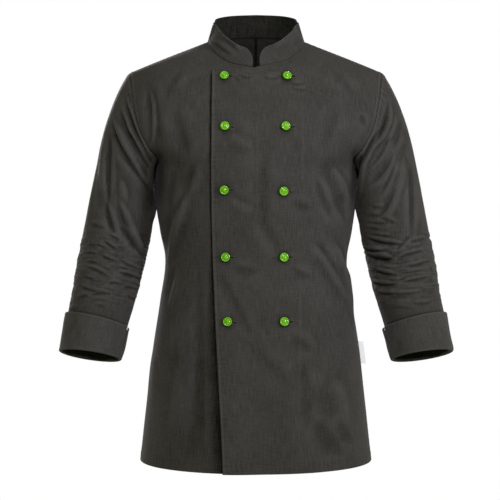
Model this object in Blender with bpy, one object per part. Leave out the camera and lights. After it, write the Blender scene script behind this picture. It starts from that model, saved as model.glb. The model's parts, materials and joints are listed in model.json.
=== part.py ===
"""A double-breasted chef jacket in its worn, hollow shape, standing in its own frame.

+Z is up, the wearer faces -Y, and the wearer's left side is at +X. The origin lies between the two
neck points of the shoulder seams, where the jacket hangs on the wearer's shoulders. Metres throughout.
Every cloth piece is a surface worked out from rows, then given its thickness by Solidify.
"""

import math

import bpy
import numpy as np
from mathutils import Vector

# ---------------------------------------------------------------- driving sizes
CLOTH = 0.0016  # wall of one layer of cloth
COLLAR_CLOTH = 0.0026  # two layers and an interlining
SEAM_GAP = 0.0004  # what a panel gives up at a side or shoulder seam
CENTRE_BACK_GAP = 0.00028  # what each half of the back gives up at the centre seam
LAYER_RISE = 0.0027  # the top front over the under front, from middle to middle
LAYER_RISE_ENDS_X = (0.085, 0.130)  # where that rise starts to fade, and is gone, towards the side
LAYER_RISE_ENDS_Z = (-0.058, -0.018)  # the same towards the neck point
LAP = 0.077  # each front past the centre line
LAP_AT_HEM = 0.054  # the same at the hem, where the front edge swings inwards
LAP_SWINGS_Z = (-0.20, -0.80)  # heights between which it does
LAP_LIFT = 0.013  # how far the free corner of the top front stands off
LAP_LIFT_Z = (-0.40, -0.73)  # heights between which it rises
LAP_LIFT_REACH = 0.075  # how far from the free edge it is lifted
NECK_POINT = 0.087  # half width of the neck opening on the shoulder line
SHOULDER_POINT = (0.227, 0.008, -0.055)
UNDERARM = (0.181, 0.005, -0.232)
FRONT_NECK = (0.0, -0.080, -0.057)
BACK_NECK = (0.0, 0.055, 0.016)
LAP_TOP = -0.062  # height of the top front's upper edge at its corner
COLLAR_HEIGHT = (0.036, 0.041)  # in front and at the sides, and at the centre of the back
COLLAR_GAP = 0.0052  # half of the slot between the collar's ends
COLLAR_ROUND = 0.027  # length over which a collar end is rounded
COLLAR_SEAT = (0.0017, 0.0011)  # its lower edge over the neckline, in front and behind
COLLAR_LEAN = (0.38, 0.11)  # how far it leans in, for each unit of height, in front and behind
COLLAR_END_HEIGHT = 0.16  # share of the height that is left at the blunt end of the rounding
COLLAR_END_POWER = 2.1  # 2 rounds the ends as an ellipse
CUFF_RISE = 0.0028  # the cuff over the sleeve, from middle to middle
CUFF_FLARE = 0.0008  # how much further out its free edge stands
BUTTON_RADIUS = 0.0078
BUTTON_HEIGHT = 0.0058
BUTTON_SEAT = 0.0003  # gap between a button's post and the cloth
BUTTON_SIDES = 12
LABEL_SIZE = (0.010, 0.040)  # stand-out and length of the side tab
LABEL_CLOTH = 0.0010
LABEL_SEAT = 0.0003  # gap between the tab and the side seam
LABEL_HEIGHT = -0.560
LABEL_TURN = -0.12  # how far the tab turns to the front, for each unit outwards

# ---------------------------------------------------------------- rows of the body
# Below the arm: height, half width at the side seam, depth in front and behind the side seam.
BODY_ROWS = (
    # z, half_width, front, back, front_drop
    (-0.750, 0.2065, 0.152, 0.136, 0.005),
    (-0.650, 0.1960, 0.147, 0.128, 0.003),
    (-0.550, 0.1845, 0.139, 0.117, 0.001),
    (-0.465, 0.1710, 0.130, 0.106, 0.000),
    (-0.395, 0.1622, 0.126, 0.100, 0.000),
    (-0.340, 0.1718, 0.129, 0.103, 0.000),
    (-0.285, 0.1795, 0.133, 0.109, 0.000),
    (-0.232, UNDERARM[0], 0.136, 0.114, 0.000),
)
SIDE_DEPTH = UNDERARM[1]  # y of the side seam
FOLD_CALM_SHARE = 0.16  # share of a row, next to the side seam or armhole, over which folds fade out
FOLD_CALM_ROWS = 1.2  # rows under the shoulder seam over which they do
BODY_PULL = 0.80  # weight of the corner that each row is drawn towards: 0.707 is an ellipse

# Above the arm: the row's inner end, the corner that draws it out, its outer end, and that weight.
# The inner end climbs the centre line to the neck and then follows the neckline; the outer end
# follows the armhole; the last row is the shoulder seam.
FRONT_ROWS = (
    # inner x, y, z, corner x, y, z, outer x, y, z, weight
    ((0.0, -0.1325, -0.200), (0.176, -0.136, -0.214), (0.170, -0.045, -0.213), 0.85),
    ((0.0, -0.123, -0.158), (0.178, -0.130, -0.184), (0.186, -0.063, -0.195), 0.85),
    ((0.0, -0.107, -0.108), (0.181, -0.119, -0.142), (0.2035, -0.063, -0.163), 0.85),
    (FRONT_NECK, (0.174, -0.104, -0.092), (0.2130, -0.055, -0.129), 0.85),
    ((0.048, -0.066, -0.0455), (0.168, -0.083, -0.059), (0.2190, -0.040, -0.096), 0.9),
    ((0.0765, -0.034, -0.0215), (0.160, -0.043, -0.0335), (0.2240, -0.018, -0.0655), 1.0),
    ((NECK_POINT, 0.002, 0.0), (0.157, 0.005, -0.0262), SHOULDER_POINT, 1.0),
)
BACK_ROWS = (
    ((0.0, 0.1155, -0.184), (0.178, 0.118, -0.205), (0.175, 0.044, -0.214), 0.85),
    ((0.0, 0.1120, -0.124), (0.182, 0.115, -0.165), (0.188, 0.063, -0.193), 0.85),
    ((0.0, 0.0960, -0.058), (0.183, 0.105, -0.120), (0.2025, 0.066, -0.161), 0.85),
    (BACK_NECK, (0.172, 0.087, -0.065), (0.2125, 0.060, -0.128), 0.85),
    ((0.042, 0.049, 0.0135), (0.165, 0.066, -0.041), (0.2185, 0.047, -0.096), 0.9),
    ((0.0735, 0.029, 0.0065), (0.160, 0.037, -0.0290), (0.2240, 0.030, -0.0665), 1.0),
    ((NECK_POINT, 0.002, 0.0), (0.157, 0.005, -0.0262), SHOULDER_POINT, 1.0),
)
UNDERARM_ROW = len(BODY_ROWS) - 1
NECK_ROW = UNDERARM_ROW + 4
SHOULDER_ROW = UNDERARM_ROW + len(FRONT_ROWS)

# ---------------------------------------------------------------- rows of the sleeve
# The rings below the cap: centre, half width across (x) and from front to back, and the degrees
# by which the ring's outer side and its front side are raised. The cuff's free edge lies at the
# last ring but one, and its turned edge at the last.
SLEEVE_ROWS = (
    # x, y, z, across, deep, outer_up, front_up
    (0.2400, -0.002, -0.2900, 0.0585, 0.0560, 12.0, 2.0),
    (0.2480, -0.004, -0.3370, 0.0590, 0.0570, 11.0, 4.0),
    (0.2560, -0.007, -0.3780, 0.0590, 0.0580, 11.0, 7.0),
    (0.2645, -0.014, -0.4200, 0.0580, 0.0575, 12.0, 10.0),
    (0.2730, -0.023, -0.4620, 0.0550, 0.0550, 13.0, 12.5),
    (0.2818, -0.0325, -0.5010, 0.0530, 0.0535, 13.0, 13.5),
    (0.2934, -0.0462, -0.5605, 0.0520, 0.0525, 7.5, 13.5),
)
CUFF_SLIT = 12.0  # degrees from the inner side towards the front
CUFF_SLIT_WIDTH = (5.0, 1.0)  # degrees at the free edge and at the turned edge
SLEEVE_END = 0.06  # share of the cuff's height by which the sleeve ends above the turned edge
CAP_TOP_PULL = (0.130, 0.0, -0.190)  # how the sleeve leaves the shoulder point
CAP_UNDER_PULL = (0.022, 0.0, -0.050)  # how it leaves the underarm
CAP_FRONT_PULL = 0.004  # how much further forwards it leaves the front of the armhole
CAP_ARRIVES = (0.075, 0.220)  # the cap's pull along the first ring's axis, under the arm and over it
CAP_BUNCHING = 1.25  # above 1, the cap's rings lie closer at the armhole
SLEEVE_CALM_RINGS = 3.0  # rings below the armhole over which folds fade in
SLEEVE_CALM_Z = (-0.490, -0.460)  # heights over the cuff's free edge between which they do
CUFF_BELLY = 0.0004  # how much further out the cuff stands at half its height
CAP_GAP_UNDER = 0.0038  # how far out the sleeve's edge lies from the armhole under the arm
CAP_GAP_OVER = 0.0007  # the same at the shoulder point

# ---------------------------------------------------------------- largest folds
FOLD_TAPER = 0.35  # share of a fold's length over which it rises at each end
FOLD_OVERRUN = 0.09  # share of its length by which it runs past its ends
# Ridges (+) and troughs (-) of the body, as lines in the front view from a start to an end.
FRONT_FOLDS = (
    # x start, z start, x end, z end, depth, width
    (-0.190, -0.080, -0.168, -0.205, -0.0060, 0.012),
    (-0.172, -0.300, -0.120, -0.150, -0.0050, 0.024),
    (-0.150, -0.420, -0.135, -0.700, 0.0045, 0.022),
    (-0.118, -0.520, -0.112, -0.745, -0.0050, 0.022),
    (0.118, -0.215, 0.150, -0.310, -0.0045, 0.016),
    (0.120, -0.350, 0.172, -0.490, 0.0045, 0.014),
    (0.105, -0.600, 0.135, -0.735, -0.0050, 0.026),
)
BACK_FOLDS = (
    (-0.150, -0.210, -0.095, -0.380, -0.0050, 0.020),
    (0.150, -0.205, 0.100, -0.390, -0.0050, 0.020),
    (-0.070, -0.480, -0.085, -0.740, -0.0060, 0.030),
    (0.078, -0.470, 0.095, -0.740, -0.0060, 0.030),
)
# Sleeve folds: angle round the sleeve (0 at the underarm, 90 in front, 180 outside) and height.
RIGHT_SLEEVE_FOLDS = (
    # angle start, z start, angle end, z end, depth, width
    (120, -0.110, 45, -0.235, -0.0075, 0.012),
    (150, -0.150, 70, -0.290, -0.0065, 0.014),
    (165, -0.200, 140, -0.330, -0.0055, 0.012),
    (125, -0.290, 55, -0.395, -0.0060, 0.013),
    (150, -0.395, 45, -0.425, 0.0045, 0.010),
    (160, -0.440, 60, -0.448, 0.0040, 0.010),
    (330, -0.300, 220, -0.390, -0.0060, 0.016),
    (335, -0.400, 230, -0.430, -0.0055, 0.014),
)
LEFT_SLEEVE_FOLDS = (
    (125, -0.105, 50, -0.225, -0.0070, 0.012),
    (155, -0.150, 110, -0.230, -0.0060, 0.013),
    (140, -0.215, 125, -0.370, -0.0050, 0.013),
    (30, -0.385, 100, -0.393, -0.0075, 0.011),
    (25, -0.430, 120, -0.424, -0.0060, 0.010),
    (60, -0.408, 160, -0.402, 0.0040, 0.010),
    (330, -0.290, 225, -0.400, -0.0060, 0.016),
    (325, -0.410, 215, -0.435, -0.0055, 0.014),
)

# ---------------------------------------------------------------- buttons, as (x, z) from the top down
BUTTON_PLACES = {
    "outer": (
        (-0.0550, -0.0750),
        (-0.0530, -0.1640),
        (-0.0530, -0.2715),
        (-0.0510, -0.3865),
        (-0.0475, -0.4980),
    ),
    "inner": (
        (0.0535, -0.0750),
        (0.0500, -0.1640),
        (0.0455, -0.2735),
        (0.0460, -0.3865),
        (0.0465, -0.4975),
    ),
}
# Half profile of a button, from its seat up: shares of its own radius and height.
BUTTON_PROFILE = (
    # radius, height
    (0.42, 0.00),
    (0.42, 0.22),
    (0.97, 0.30),
    (1.00, 0.50),
    (0.90, 0.74),
    (0.62, 0.80),
    (0.50, 0.97),
)

# Grid steps
ROWS_PER_SPAN = 2
PANEL_COLUMNS = 9
LAP_COLUMNS = 4
RING_POINTS = 24
CAP_STEPS = 8
SLEEVE_STEPS = 20
COLLAR_COLUMNS = 48
COLLAR_LEVELS = 4
NEWTON_STEPS = 12


# ---------------------------------------------------------------- curves
def through(values, at):
    """A smooth curve through the rows of a table, read at fractional row numbers."""
    values = np.asarray(values, float)
    last = len(values) - 1
    row = np.clip(np.floor(at).astype(int), 0, last - 1)
    part = (np.asarray(at) - row)[:, None]
    before = values[np.maximum(row - 1, 0)]
    start, end = values[row], values[row + 1]
    after = values[np.minimum(row + 2, last)]
    slope_start = np.where((row > 0)[:, None], (end - before) / 2, end - start)
    slope_end = np.where((row + 2 <= last)[:, None], (after - start) / 2, end - start)
    cube, square = part**3, part**2
    return (
        (2 * cube - 3 * square + 1) * start
        + (cube - 2 * square + part) * slope_start
        + (3 * square - 2 * cube) * end
        + (cube - square) * slope_end
    )


def through_with_corner(values, at, corner):
    """The same curve, but with a corner at one row."""
    low = through(values[: corner + 1], np.minimum(at, corner))
    high = through(values[corner:], np.maximum(at - corner, 0.0))
    return np.where((at <= corner)[:, None], low, high)


def ease(value, start=0.0, end=1.0):
    """0 at the start and before it, 1 at the end and past it, smooth between."""
    share = np.clip((value - start) / (end - start), 0.0, 1.0)
    return share * share * (3 - 2 * share)


def blend(ends, share):
    """From the first of two values to the second."""
    return ends[0] + (ends[1] - ends[0]) * share


def fold_height(across, down, folds, across_scale=1.0):
    """Sum of soft ridges and troughs, each a line with a bell profile and tapered ends."""
    total = np.zeros_like(across)
    for across0, down0, across1, down1, depth, width in folds:
        line = np.array([(across1 - across0) * across_scale, down1 - down0])
        length = np.hypot(*line)
        unit = line / length
        dx, dz = (across - across0) * across_scale, down - down0
        along = dx * unit[0] + dz * unit[1]
        aside = -dx * unit[1] + dz * unit[0]
        fade_in = ease(along, -FOLD_OVERRUN * length, (FOLD_TAPER - FOLD_OVERRUN) * length)
        fade_out = ease(length - along, -FOLD_OVERRUN * length, (FOLD_TAPER - FOLD_OVERRUN) * length)
        taper = fade_in * fade_out
        total += depth * np.exp(-((aside / width) ** 2)) * taper
    return total


# ---------------------------------------------------------------- the body's surface
def body_rows(front):
    """Inner ends, corners, outer ends and weights of all rows of a front or back half."""
    inner, corner, outer, weight = [], [], [], []
    for z, half_width, deep_front, deep_back, front_drop in BODY_ROWS:
        depth, drop = (-deep_front, front_drop) if front else (deep_back, 0.0)
        inner.append((0.0, depth, z - drop))
        corner.append((half_width, depth, z - drop))
        outer.append((half_width, SIDE_DEPTH, z))
        weight.append((BODY_PULL,))
    for row_inner, row_corner, row_outer, row_weight in FRONT_ROWS if front else BACK_ROWS:
        inner.append(row_inner)
        corner.append(row_corner)
        outer.append(row_outer)
        weight.append((row_weight,))
    return np.array(inner), np.array(corner), np.array(outer), np.array(weight)


def body_point(across, row, front):
    """Points of the right-hand half (x >= 0). across runs from 0 at the centre to 1 at the side.

    Each row is a conic from its inner to its outer end, drawn towards its corner.
    """
    inner, corner, outer, weight = body_rows(front)
    shape = np.shape(across)
    share, at = np.ravel(across)[:, None], np.ravel(row)
    start = through_with_corner(inner, at, NECK_ROW)
    end = through_with_corner(outer, at, UNDERARM_ROW)
    pulled = through(corner, at)
    pull = through(weight, at)
    parts = (1 - share) ** 2, 2 * pull * share * (1 - share), share**2
    points = (parts[0] * start + parts[1] * pulled + parts[2] * end) / sum(parts)
    return points.reshape(*shape, 3)


def body_folds(side_x, z, across, row, front):
    """The body's folds, faded out towards the side seam, the armhole and the shoulder seam."""
    calm = ease(1 - across, 0, FOLD_CALM_SHARE) * ease(SHOULDER_ROW - row, 0, FOLD_CALM_ROWS)
    return calm * fold_height(side_x, z, FRONT_FOLDS if front else BACK_FOLDS)


def body_normal(across, row, front):
    """Unit normals of that half, pointing out of the jacket."""
    step = 1e-3
    inside = np.clip(across, step, 1 - step)
    within = np.clip(row, step, SHOULDER_ROW - step)
    sideways = body_point(inside + step, within, front) - body_point(inside - step, within, front)
    upwards = body_point(inside, within + step, front) - body_point(inside, within - step, front)
    normal = np.cross(sideways, upwards) if front else np.cross(upwards, sideways)
    return normal / np.linalg.norm(normal, axis=-1, keepdims=True)


def front_place(x, z):
    """The across and row values at which the front half passes a place in the front view.

    Newton's method on x and z, from a first guess on the centre line's heights.
    """
    x, z = np.broadcast_arrays(np.asarray(x, float), np.asarray(z, float))
    centre_heights = body_rows(True)[0][: NECK_ROW + 1, 2]
    row = np.interp(z, centre_heights, np.arange(NECK_ROW + 1))
    across = np.clip(x / 0.3, 0.02, 0.9)
    step = 1e-4
    for _ in range(NEWTON_STEPS):
        here = body_point(across, row, True)
        by_across = (body_point(across + step, row, True) - here) / step
        by_row = (body_point(across, row + step, True) - here) / step
        miss_x, miss_z = x - here[..., 0], z - here[..., 2]
        area = by_across[..., 0] * by_row[..., 2] - by_row[..., 0] * by_across[..., 2]
        across_move = (miss_x * by_row[..., 2] - miss_z * by_row[..., 0]) / area
        row_move = (by_across[..., 0] * miss_z - by_across[..., 2] * miss_x) / area
        across = np.clip(across + across_move, 0.0, 0.98)
        row = np.clip(row + row_move, 0.0, SHOULDER_ROW - 0.2)
    return across, row


def mirrored(points, side):
    """The half as it is for side +1, mirrored for side -1."""
    return points * np.array([side, 1.0, 1.0])


def front_surface(x, z, rise):
    """Points of the fronts at signed front-view places, moved out by rise."""
    side = np.where(x < 0, -1.0, 1.0)
    mirror = np.stack([side, np.ones_like(side), np.ones_like(side)], axis=-1)
    across, row = front_place(np.abs(x), z)
    points = body_point(across, row, True) * mirror
    lift = rise + body_folds(points[..., 0], points[..., 2], across, row, True)
    return points + body_normal(across, row, True) * mirror * lift[..., None]


def lap_edge(z):
    """Distance of a front's free edge past the centre line."""
    return blend((LAP, LAP_AT_HEM), ease(z, *LAP_SWINGS_Z) ** 1.5)


def top_front_rise(x, z):
    """How far the top front lies over the under front, and stands off at its free corner."""
    lying = LAYER_RISE * (1 - ease(x, *LAYER_RISE_ENDS_X)) * (1 - ease(z, *LAYER_RISE_ENDS_Z))
    from_edge = x + lap_edge(z)
    standing = LAP_LIFT * ease(z, *LAP_LIFT_Z) * ease(LAP_LIFT_REACH - from_edge, 0, LAP_LIFT_REACH)
    return lying + standing


# ---------------------------------------------------------------- meshes
def clear_scene():
    """Removes whatever the file holds."""
    for obj in list(bpy.data.objects):
        bpy.data.objects.remove(obj)


def material(name, colour, roughness, metallic=0.0):
    made = bpy.data.materials.get(name) or bpy.data.materials.new(name)
    made.use_nodes = True
    shader = made.node_tree.nodes["Principled BSDF"]
    shader.inputs["Base Color"].default_value = (*colour, 1.0)
    shader.inputs["Roughness"].default_value = roughness
    shader.inputs["Metallic"].default_value = metallic
    return made


def add_object(name, points, faces, finish):
    mesh = bpy.data.meshes.new(name)
    mesh.from_pydata([tuple(p) for p in np.asarray(points, float)], [], [tuple(f) for f in faces])
    mesh.validate()
    mesh.update()
    mesh.shade_smooth()
    mesh.materials.append(finish)
    made = bpy.data.objects.new(name, mesh)
    bpy.context.scene.collection.objects.link(made)
    return made


def thicken(made, thickness):
    wall = made.modifiers.new("Cloth thickness", "SOLIDIFY")
    wall.thickness = thickness
    wall.offset = 0.0
    wall.use_even_offset = False
    return made


def grid_faces(rows, columns, present=None, closed=False):
    """Quads of a grid of points. present says which exist; closed joins the last column to the first."""
    faces = []
    for row in range(rows - 1):
        for column in range(columns if closed else columns - 1):
            beside = (column + 1) % columns
            corners = ((row, column), (row, beside), (row + 1, beside), (row + 1, column))
            if present is None or all(present[r, c] for r, c in corners):
                faces.append([r * columns + c for r, c in corners])
    return faces


def used_only(points, faces):
    """Drops points that no face uses."""
    faces = np.asarray(faces)
    kept, index = np.unique(faces, return_inverse=True)
    return np.asarray(points)[kept], index.reshape(faces.shape)


def drawn_in(points, distance, edges):
    """Moves the named border rows and columns of a grid inwards by a distance, to leave a seam's gap."""
    result = points.copy()
    for edge in edges:
        border, beside = {
            "top": (np.s_[-1, :], np.s_[-2, :]),
            "first": (np.s_[:, 0], np.s_[:, 1]),
            "last": (np.s_[:, -1], np.s_[:, -2]),
        }[edge]
        inwards = points[beside] - points[border]
        inwards /= np.linalg.norm(inwards, axis=-1, keepdims=True)
        result[border] += inwards * distance
    return result


def panel_grid(columns):
    """Row numbers and across values of a half's grid, and both spread over the grid."""
    rows = np.arange(SHOULDER_ROW * ROWS_PER_SPAN + 1) / ROWS_PER_SPAN
    return rows, *np.meshgrid(rows, np.linspace(0.0, 1.0, columns + 1), indexing="ij")


# ---------------------------------------------------------------- pieces
def build_front(side, finish):
    """One front: the half itself and its lap past the centre line. The wearer's left one lies on top."""
    top = side > 0
    rows, row, across = panel_grid(PANEL_COLUMNS)
    half = body_point(across, row, True)
    rise = body_folds(half[..., 0] * side, half[..., 2], across, row, True)
    if top:
        rise = rise + top_front_rise(half[..., 0], half[..., 2])
    half = mirrored(half + body_normal(across, row, True) * rise[..., None], side)

    lap_rows = NECK_ROW * ROWS_PER_SPAN + 1
    centre_height = body_rows(True)[0][:, 2]
    height = through(centre_height[: NECK_ROW + 1, None], rows[:lap_rows])
    drop = (LAP_TOP - FRONT_NECK[2]) * ease(rows[:lap_rows, None], NECK_ROW - 1, NECK_ROW)
    reach = np.linspace(1.0, 0.0, LAP_COLUMNS + 1)[:-1]
    x = -side * lap_edge(height) * reach
    z = height + drop * reach
    lap = front_surface(x, z, top_front_rise(x, z) if top else 0.0)

    points = np.zeros((len(rows), LAP_COLUMNS + half.shape[1], 3))
    points[:lap_rows, :LAP_COLUMNS] = lap
    points[:, LAP_COLUMNS:] = drawn_in(half, SEAM_GAP, ("top", "last"))
    present = np.ones(points.shape[:2], bool)
    present[lap_rows:, :LAP_COLUMNS] = False
    faces = grid_faces(*present.shape, present)
    if side < 0:
        faces = [face[::-1] for face in faces]
    points, faces = used_only(points.reshape(-1, 3), faces)
    return thicken(add_object("front_left" if top else "front_right", points, faces, finish), CLOTH)


def build_back(side, finish):
    """One half of the back, seamed down the centre."""
    _, row, across = panel_grid(PANEL_COLUMNS)
    half = body_point(across, row, False)
    lift = body_folds(half[..., 0] * side, half[..., 2], across, row, False)
    half = mirrored(half + body_normal(across, row, False) * lift[..., None], side)
    half = drawn_in(half, SEAM_GAP, ("top", "last"))
    half = drawn_in(half, CENTRE_BACK_GAP, ("first",))
    faces = grid_faces(*half.shape[:2])
    if side > 0:
        faces = [face[::-1] for face in faces]
    name = "back_left" if side > 0 else "back_right"
    return thicken(add_object(name, half.reshape(-1, 3), faces, finish), CLOTH)


def armhole(angles):
    """The armhole of the side +1, by angle: underarm 0, front 90, shoulder point 180, back 270."""
    front_half = angles <= 180
    share = np.where(front_half, angles, 360 - angles) / 180
    row = blend((UNDERARM_ROW, SHOULDER_ROW), share)
    edge = np.ones_like(row)
    return np.where(front_half[:, None], body_point(edge, row, True), body_point(edge, row, False))


def sleeve_ring(at, angles, out=0.0):
    """A ring of the sleeve below its cap, at a fractional row of SLEEVE_ROWS, moved out by a distance."""
    x, y, z, across, deep, outer_up, front_up = through(SLEEVE_ROWS, np.array([at]))[0]
    outer_up, front_up = math.radians(outer_up), math.radians(front_up)
    outwards = np.array([math.cos(outer_up), 0.0, math.sin(outer_up)])
    forwards = np.array([0.0, -math.cos(front_up), math.sin(front_up)])
    turn = np.radians(angles)[:, None]
    return (
        np.array([x, y, z])
        - np.cos(turn) * outwards * (across + out)
        + np.sin(turn) * forwards * (deep + out)
    )


def sleeve_surface(angles, cap_steps, steps):
    """Rings of the sleeve on the side +1, from the armhole down, as an array of rings."""
    over = ((1 - np.cos(np.radians(angles))) / 2)[:, None]
    gap = blend((CAP_GAP_OVER, CAP_GAP_UNDER), (1 - over) ** 2)
    start = armhole(angles) + gap * np.array([1.0, 0.0, 0.0])
    end = sleeve_ring(0.0, angles)
    axis = np.array(SLEEVE_ROWS[1][:3]) - np.array(SLEEVE_ROWS[0][:3])
    axis /= np.linalg.norm(axis)
    leave = blend(np.array((CAP_UNDER_PULL, CAP_TOP_PULL)), over)
    leave[:, 1] -= CAP_FRONT_PULL * np.sin(np.radians(angles))
    arrive = axis * blend(CAP_ARRIVES, over)
    rings = []
    for t in np.linspace(0.0, 1.0, cap_steps + 1) ** CAP_BUNCHING:
        rings.append(
            (2 * t**3 - 3 * t**2 + 1) * start
            + (t**3 - 2 * t**2 + t) * leave
            + (3 * t**2 - 2 * t**3) * end
            + (t**3 - t**2) * arrive
        )
    for at in np.linspace(0.0, len(SLEEVE_ROWS) - 1 - SLEEVE_END, steps + 1)[1:]:
        rings.append(sleeve_ring(at, angles))
    return np.array(rings)


def ring_normals(rings):
    """Outward normals of a stack of closed rings that run down the sleeve."""
    around = np.roll(rings, -1, axis=1) - np.roll(rings, 1, axis=1)
    down = np.gradient(rings, axis=0)
    normal = np.cross(down, around)
    normal /= np.linalg.norm(normal, axis=-1, keepdims=True)
    centre = rings.mean(axis=1, keepdims=True)
    flip = np.sign(np.sum((rings - centre) * normal, axis=(1, 2), keepdims=True))
    return normal * flip


def build_sleeve(side, finish):
    """A set-in sleeve, from the armhole to just above the cuff's turned edge."""
    angles = np.arange(RING_POINTS) * 360.0 / RING_POINTS
    rings = sleeve_surface(angles, CAP_STEPS, SLEEVE_STEPS)
    normal = ring_normals(rings)
    folds = LEFT_SLEEVE_FOLDS if side > 0 else RIGHT_SLEEVE_FOLDS
    turn = np.broadcast_to(angles, rings.shape[:2])
    per_degree = math.radians(1.0) * SLEEVE_ROWS[0][3]
    lift = fold_height(turn, rings[..., 2], folds, per_degree)
    calm = ease(np.arange(len(rings)), 0, SLEEVE_CALM_RINGS)[:, None] * ease(rings[..., 2], *SLEEVE_CALM_Z)
    rings = rings + normal * (lift * calm)[..., None]
    rings = mirrored(rings, side)
    faces = grid_faces(len(rings), RING_POINTS, closed=True)
    if side > 0:
        faces = [face[::-1] for face in faces]
    name = "sleeve_left" if side > 0 else "sleeve_right"
    return thicken(add_object(name, rings.reshape(-1, 3), faces, finish), CLOTH)


def build_cuff(side, finish):
    """The turned-back cuff: a band outside the sleeve, closed under the sleeve's edge by the fold."""
    half_cloth = CLOTH / 2
    free_edge, turned_edge = len(SLEEVE_ROWS) - 2, len(SLEEVE_ROWS) - 1
    # Cross-section from the free edge down the outside, round the turned edge and up the inside.
    section = (
        # share of the way down, distance out of the sleeve's middle
        (0.00, CUFF_RISE + half_cloth),
        (0.50, CUFF_RISE + half_cloth + CUFF_BELLY),
        (0.98, CUFF_RISE + half_cloth),
        (1.00, CUFF_RISE - half_cloth),
        (1.00, -half_cloth / 2),
        (0.98, -half_cloth),
        (0.96, CUFF_RISE - half_cloth),
        (0.50, CUFF_RISE - half_cloth + CUFF_BELLY),
        (0.00, CUFF_RISE - half_cloth),
    )
    rings = []
    for share, out in section:
        half_slit = blend(CUFF_SLIT_WIDTH, share) / 2
        angles = CUFF_SLIT + np.linspace(half_slit, 360 - half_slit, RING_POINTS + 1)
        at = blend((free_edge, turned_edge), share)
        rings.append(sleeve_ring(at, angles, out + CUFF_FLARE * (1 - share)))
    rings = mirrored(np.array(rings), side)
    count, columns = rings.shape[:2]
    faces = grid_faces(count, columns)
    for column in range(columns - 1):
        faces.append([(count - 1) * columns + column, (count - 1) * columns + column + 1, column + 1, column])
    faces.append([row * columns for row in range(count)])
    faces.append([row * columns + columns - 1 for row in reversed(range(count))])
    if side > 0:
        faces = [face[::-1] for face in faces]
    return add_object("cuff_left" if side > 0 else "cuff_right", rings.reshape(-1, 3), faces, finish)


def neckline():
    """The neckline from the front of the side -1 round the back to the front of the side +1.

    Gives its points, closer together at the front ends, and their distances from the first.
    """
    rows = np.linspace(NECK_ROW, SHOULDER_ROW, 40)
    centre = np.zeros_like(rows)
    front, back = body_point(centre, rows, True), body_point(centre, rows, False)
    rise = top_front_rise(front[:, 0], front[:, 2])[:, None] * body_normal(centre, rows, True)
    under_half = mirrored(np.concatenate([back, front[::-1][1:]]), -1.0)
    whole = np.concatenate([under_half[::-1], back[1:], (front + rise)[::-1][1:]])
    length = np.concatenate([[0], np.cumsum(np.linalg.norm(np.diff(whole, axis=0), axis=1))])
    share = (1 - np.cos(np.linspace(0, math.pi, COLLAR_COLUMNS + 1))) / 2
    at = blend((COLLAR_GAP, length[-1] - COLLAR_GAP), share)
    curve = np.stack([np.interp(at, length, whole[:, k]) for k in range(3)], axis=1)
    return curve, at - at[0]


def build_collar(finish):
    """The stand collar: a band on the neckline that leans in, with rounded front ends."""
    curve, at = neckline()
    tangent = np.gradient(curve, at, axis=0)
    inwards = -curve * np.array([1.0, 1.0, 0.0])
    inwards /= np.linalg.norm(inwards, axis=1, keepdims=True)
    behind = ease(curve[:, 1], 0, BACK_NECK[1])[:, None]
    stand = np.array([0, 0, 1.0]) + inwards * blend(COLLAR_LEAN, behind)
    stand -= tangent * np.sum(stand * tangent, axis=1, keepdims=True)
    stand /= np.linalg.norm(stand, axis=1, keepdims=True)
    from_end = np.minimum(at, at[-1] - at)
    rounding = np.clip(1 - from_end / COLLAR_ROUND, 0, 1)[:, None]
    rounded = (1 - rounding**COLLAR_END_POWER) ** (1 / COLLAR_END_POWER)
    height = blend(COLLAR_HEIGHT, behind) * np.maximum(rounded, COLLAR_END_HEIGHT)
    seat = blend(COLLAR_SEAT, behind)
    levels = np.linspace(0, 1, COLLAR_LEVELS + 1)[:, None, None]
    points = curve + stand * blend((seat, height), levels)
    faces = [face[::-1] for face in grid_faces(*points.shape[:2])]
    return thicken(add_object("collar", points.reshape(-1, 3), faces, finish), COLLAR_CLOTH)


def build_button(name, x, z, panel, finish):
    """A domed stud: its profile turned about the cloth's normal, a seam's gap over the panel."""
    straight_in = Vector((0.0, 1.0, 0.0))
    _, place, normal, _ = panel.ray_cast(
        Vector((x, -1.0, z)), straight_in, depsgraph=bpy.context.evaluated_depsgraph_get()
    )
    place, normal = np.array(place), np.array(normal)
    aside = np.cross(normal, [0, 0, 1.0])
    aside /= np.linalg.norm(aside)
    above = np.cross(aside, normal)
    seat = place + normal * BUTTON_SEAT
    turns = np.linspace(0, 2 * math.pi, BUTTON_SIDES, endpoint=False)
    points = [seat]
    for radius, height in BUTTON_PROFILE:
        ring = np.cos(turns)[:, None] * aside + np.sin(turns)[:, None] * above
        points.extend(seat + ring * radius * BUTTON_RADIUS + normal * height * BUTTON_HEIGHT)
    points.append(seat + normal * BUTTON_HEIGHT)
    around = [(k, (k + 1) % BUTTON_SIDES) for k in range(BUTTON_SIDES)]
    faces = [[0, 1 + k, 1 + beside] for k, beside in around]
    for ring in range(len(BUTTON_PROFILE) - 1):
        low, high = 1 + ring * BUTTON_SIDES, 1 + (ring + 1) * BUTTON_SIDES
        faces += [[low + beside, low + k, high + k, high + beside] for k, beside in around]
    top_ring, top = 1 + (len(BUTTON_PROFILE) - 1) * BUTTON_SIDES, len(points) - 1
    faces += [[top, top_ring + beside, top_ring + k] for k, beside in around]
    return add_object(name, points, faces, finish)


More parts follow.
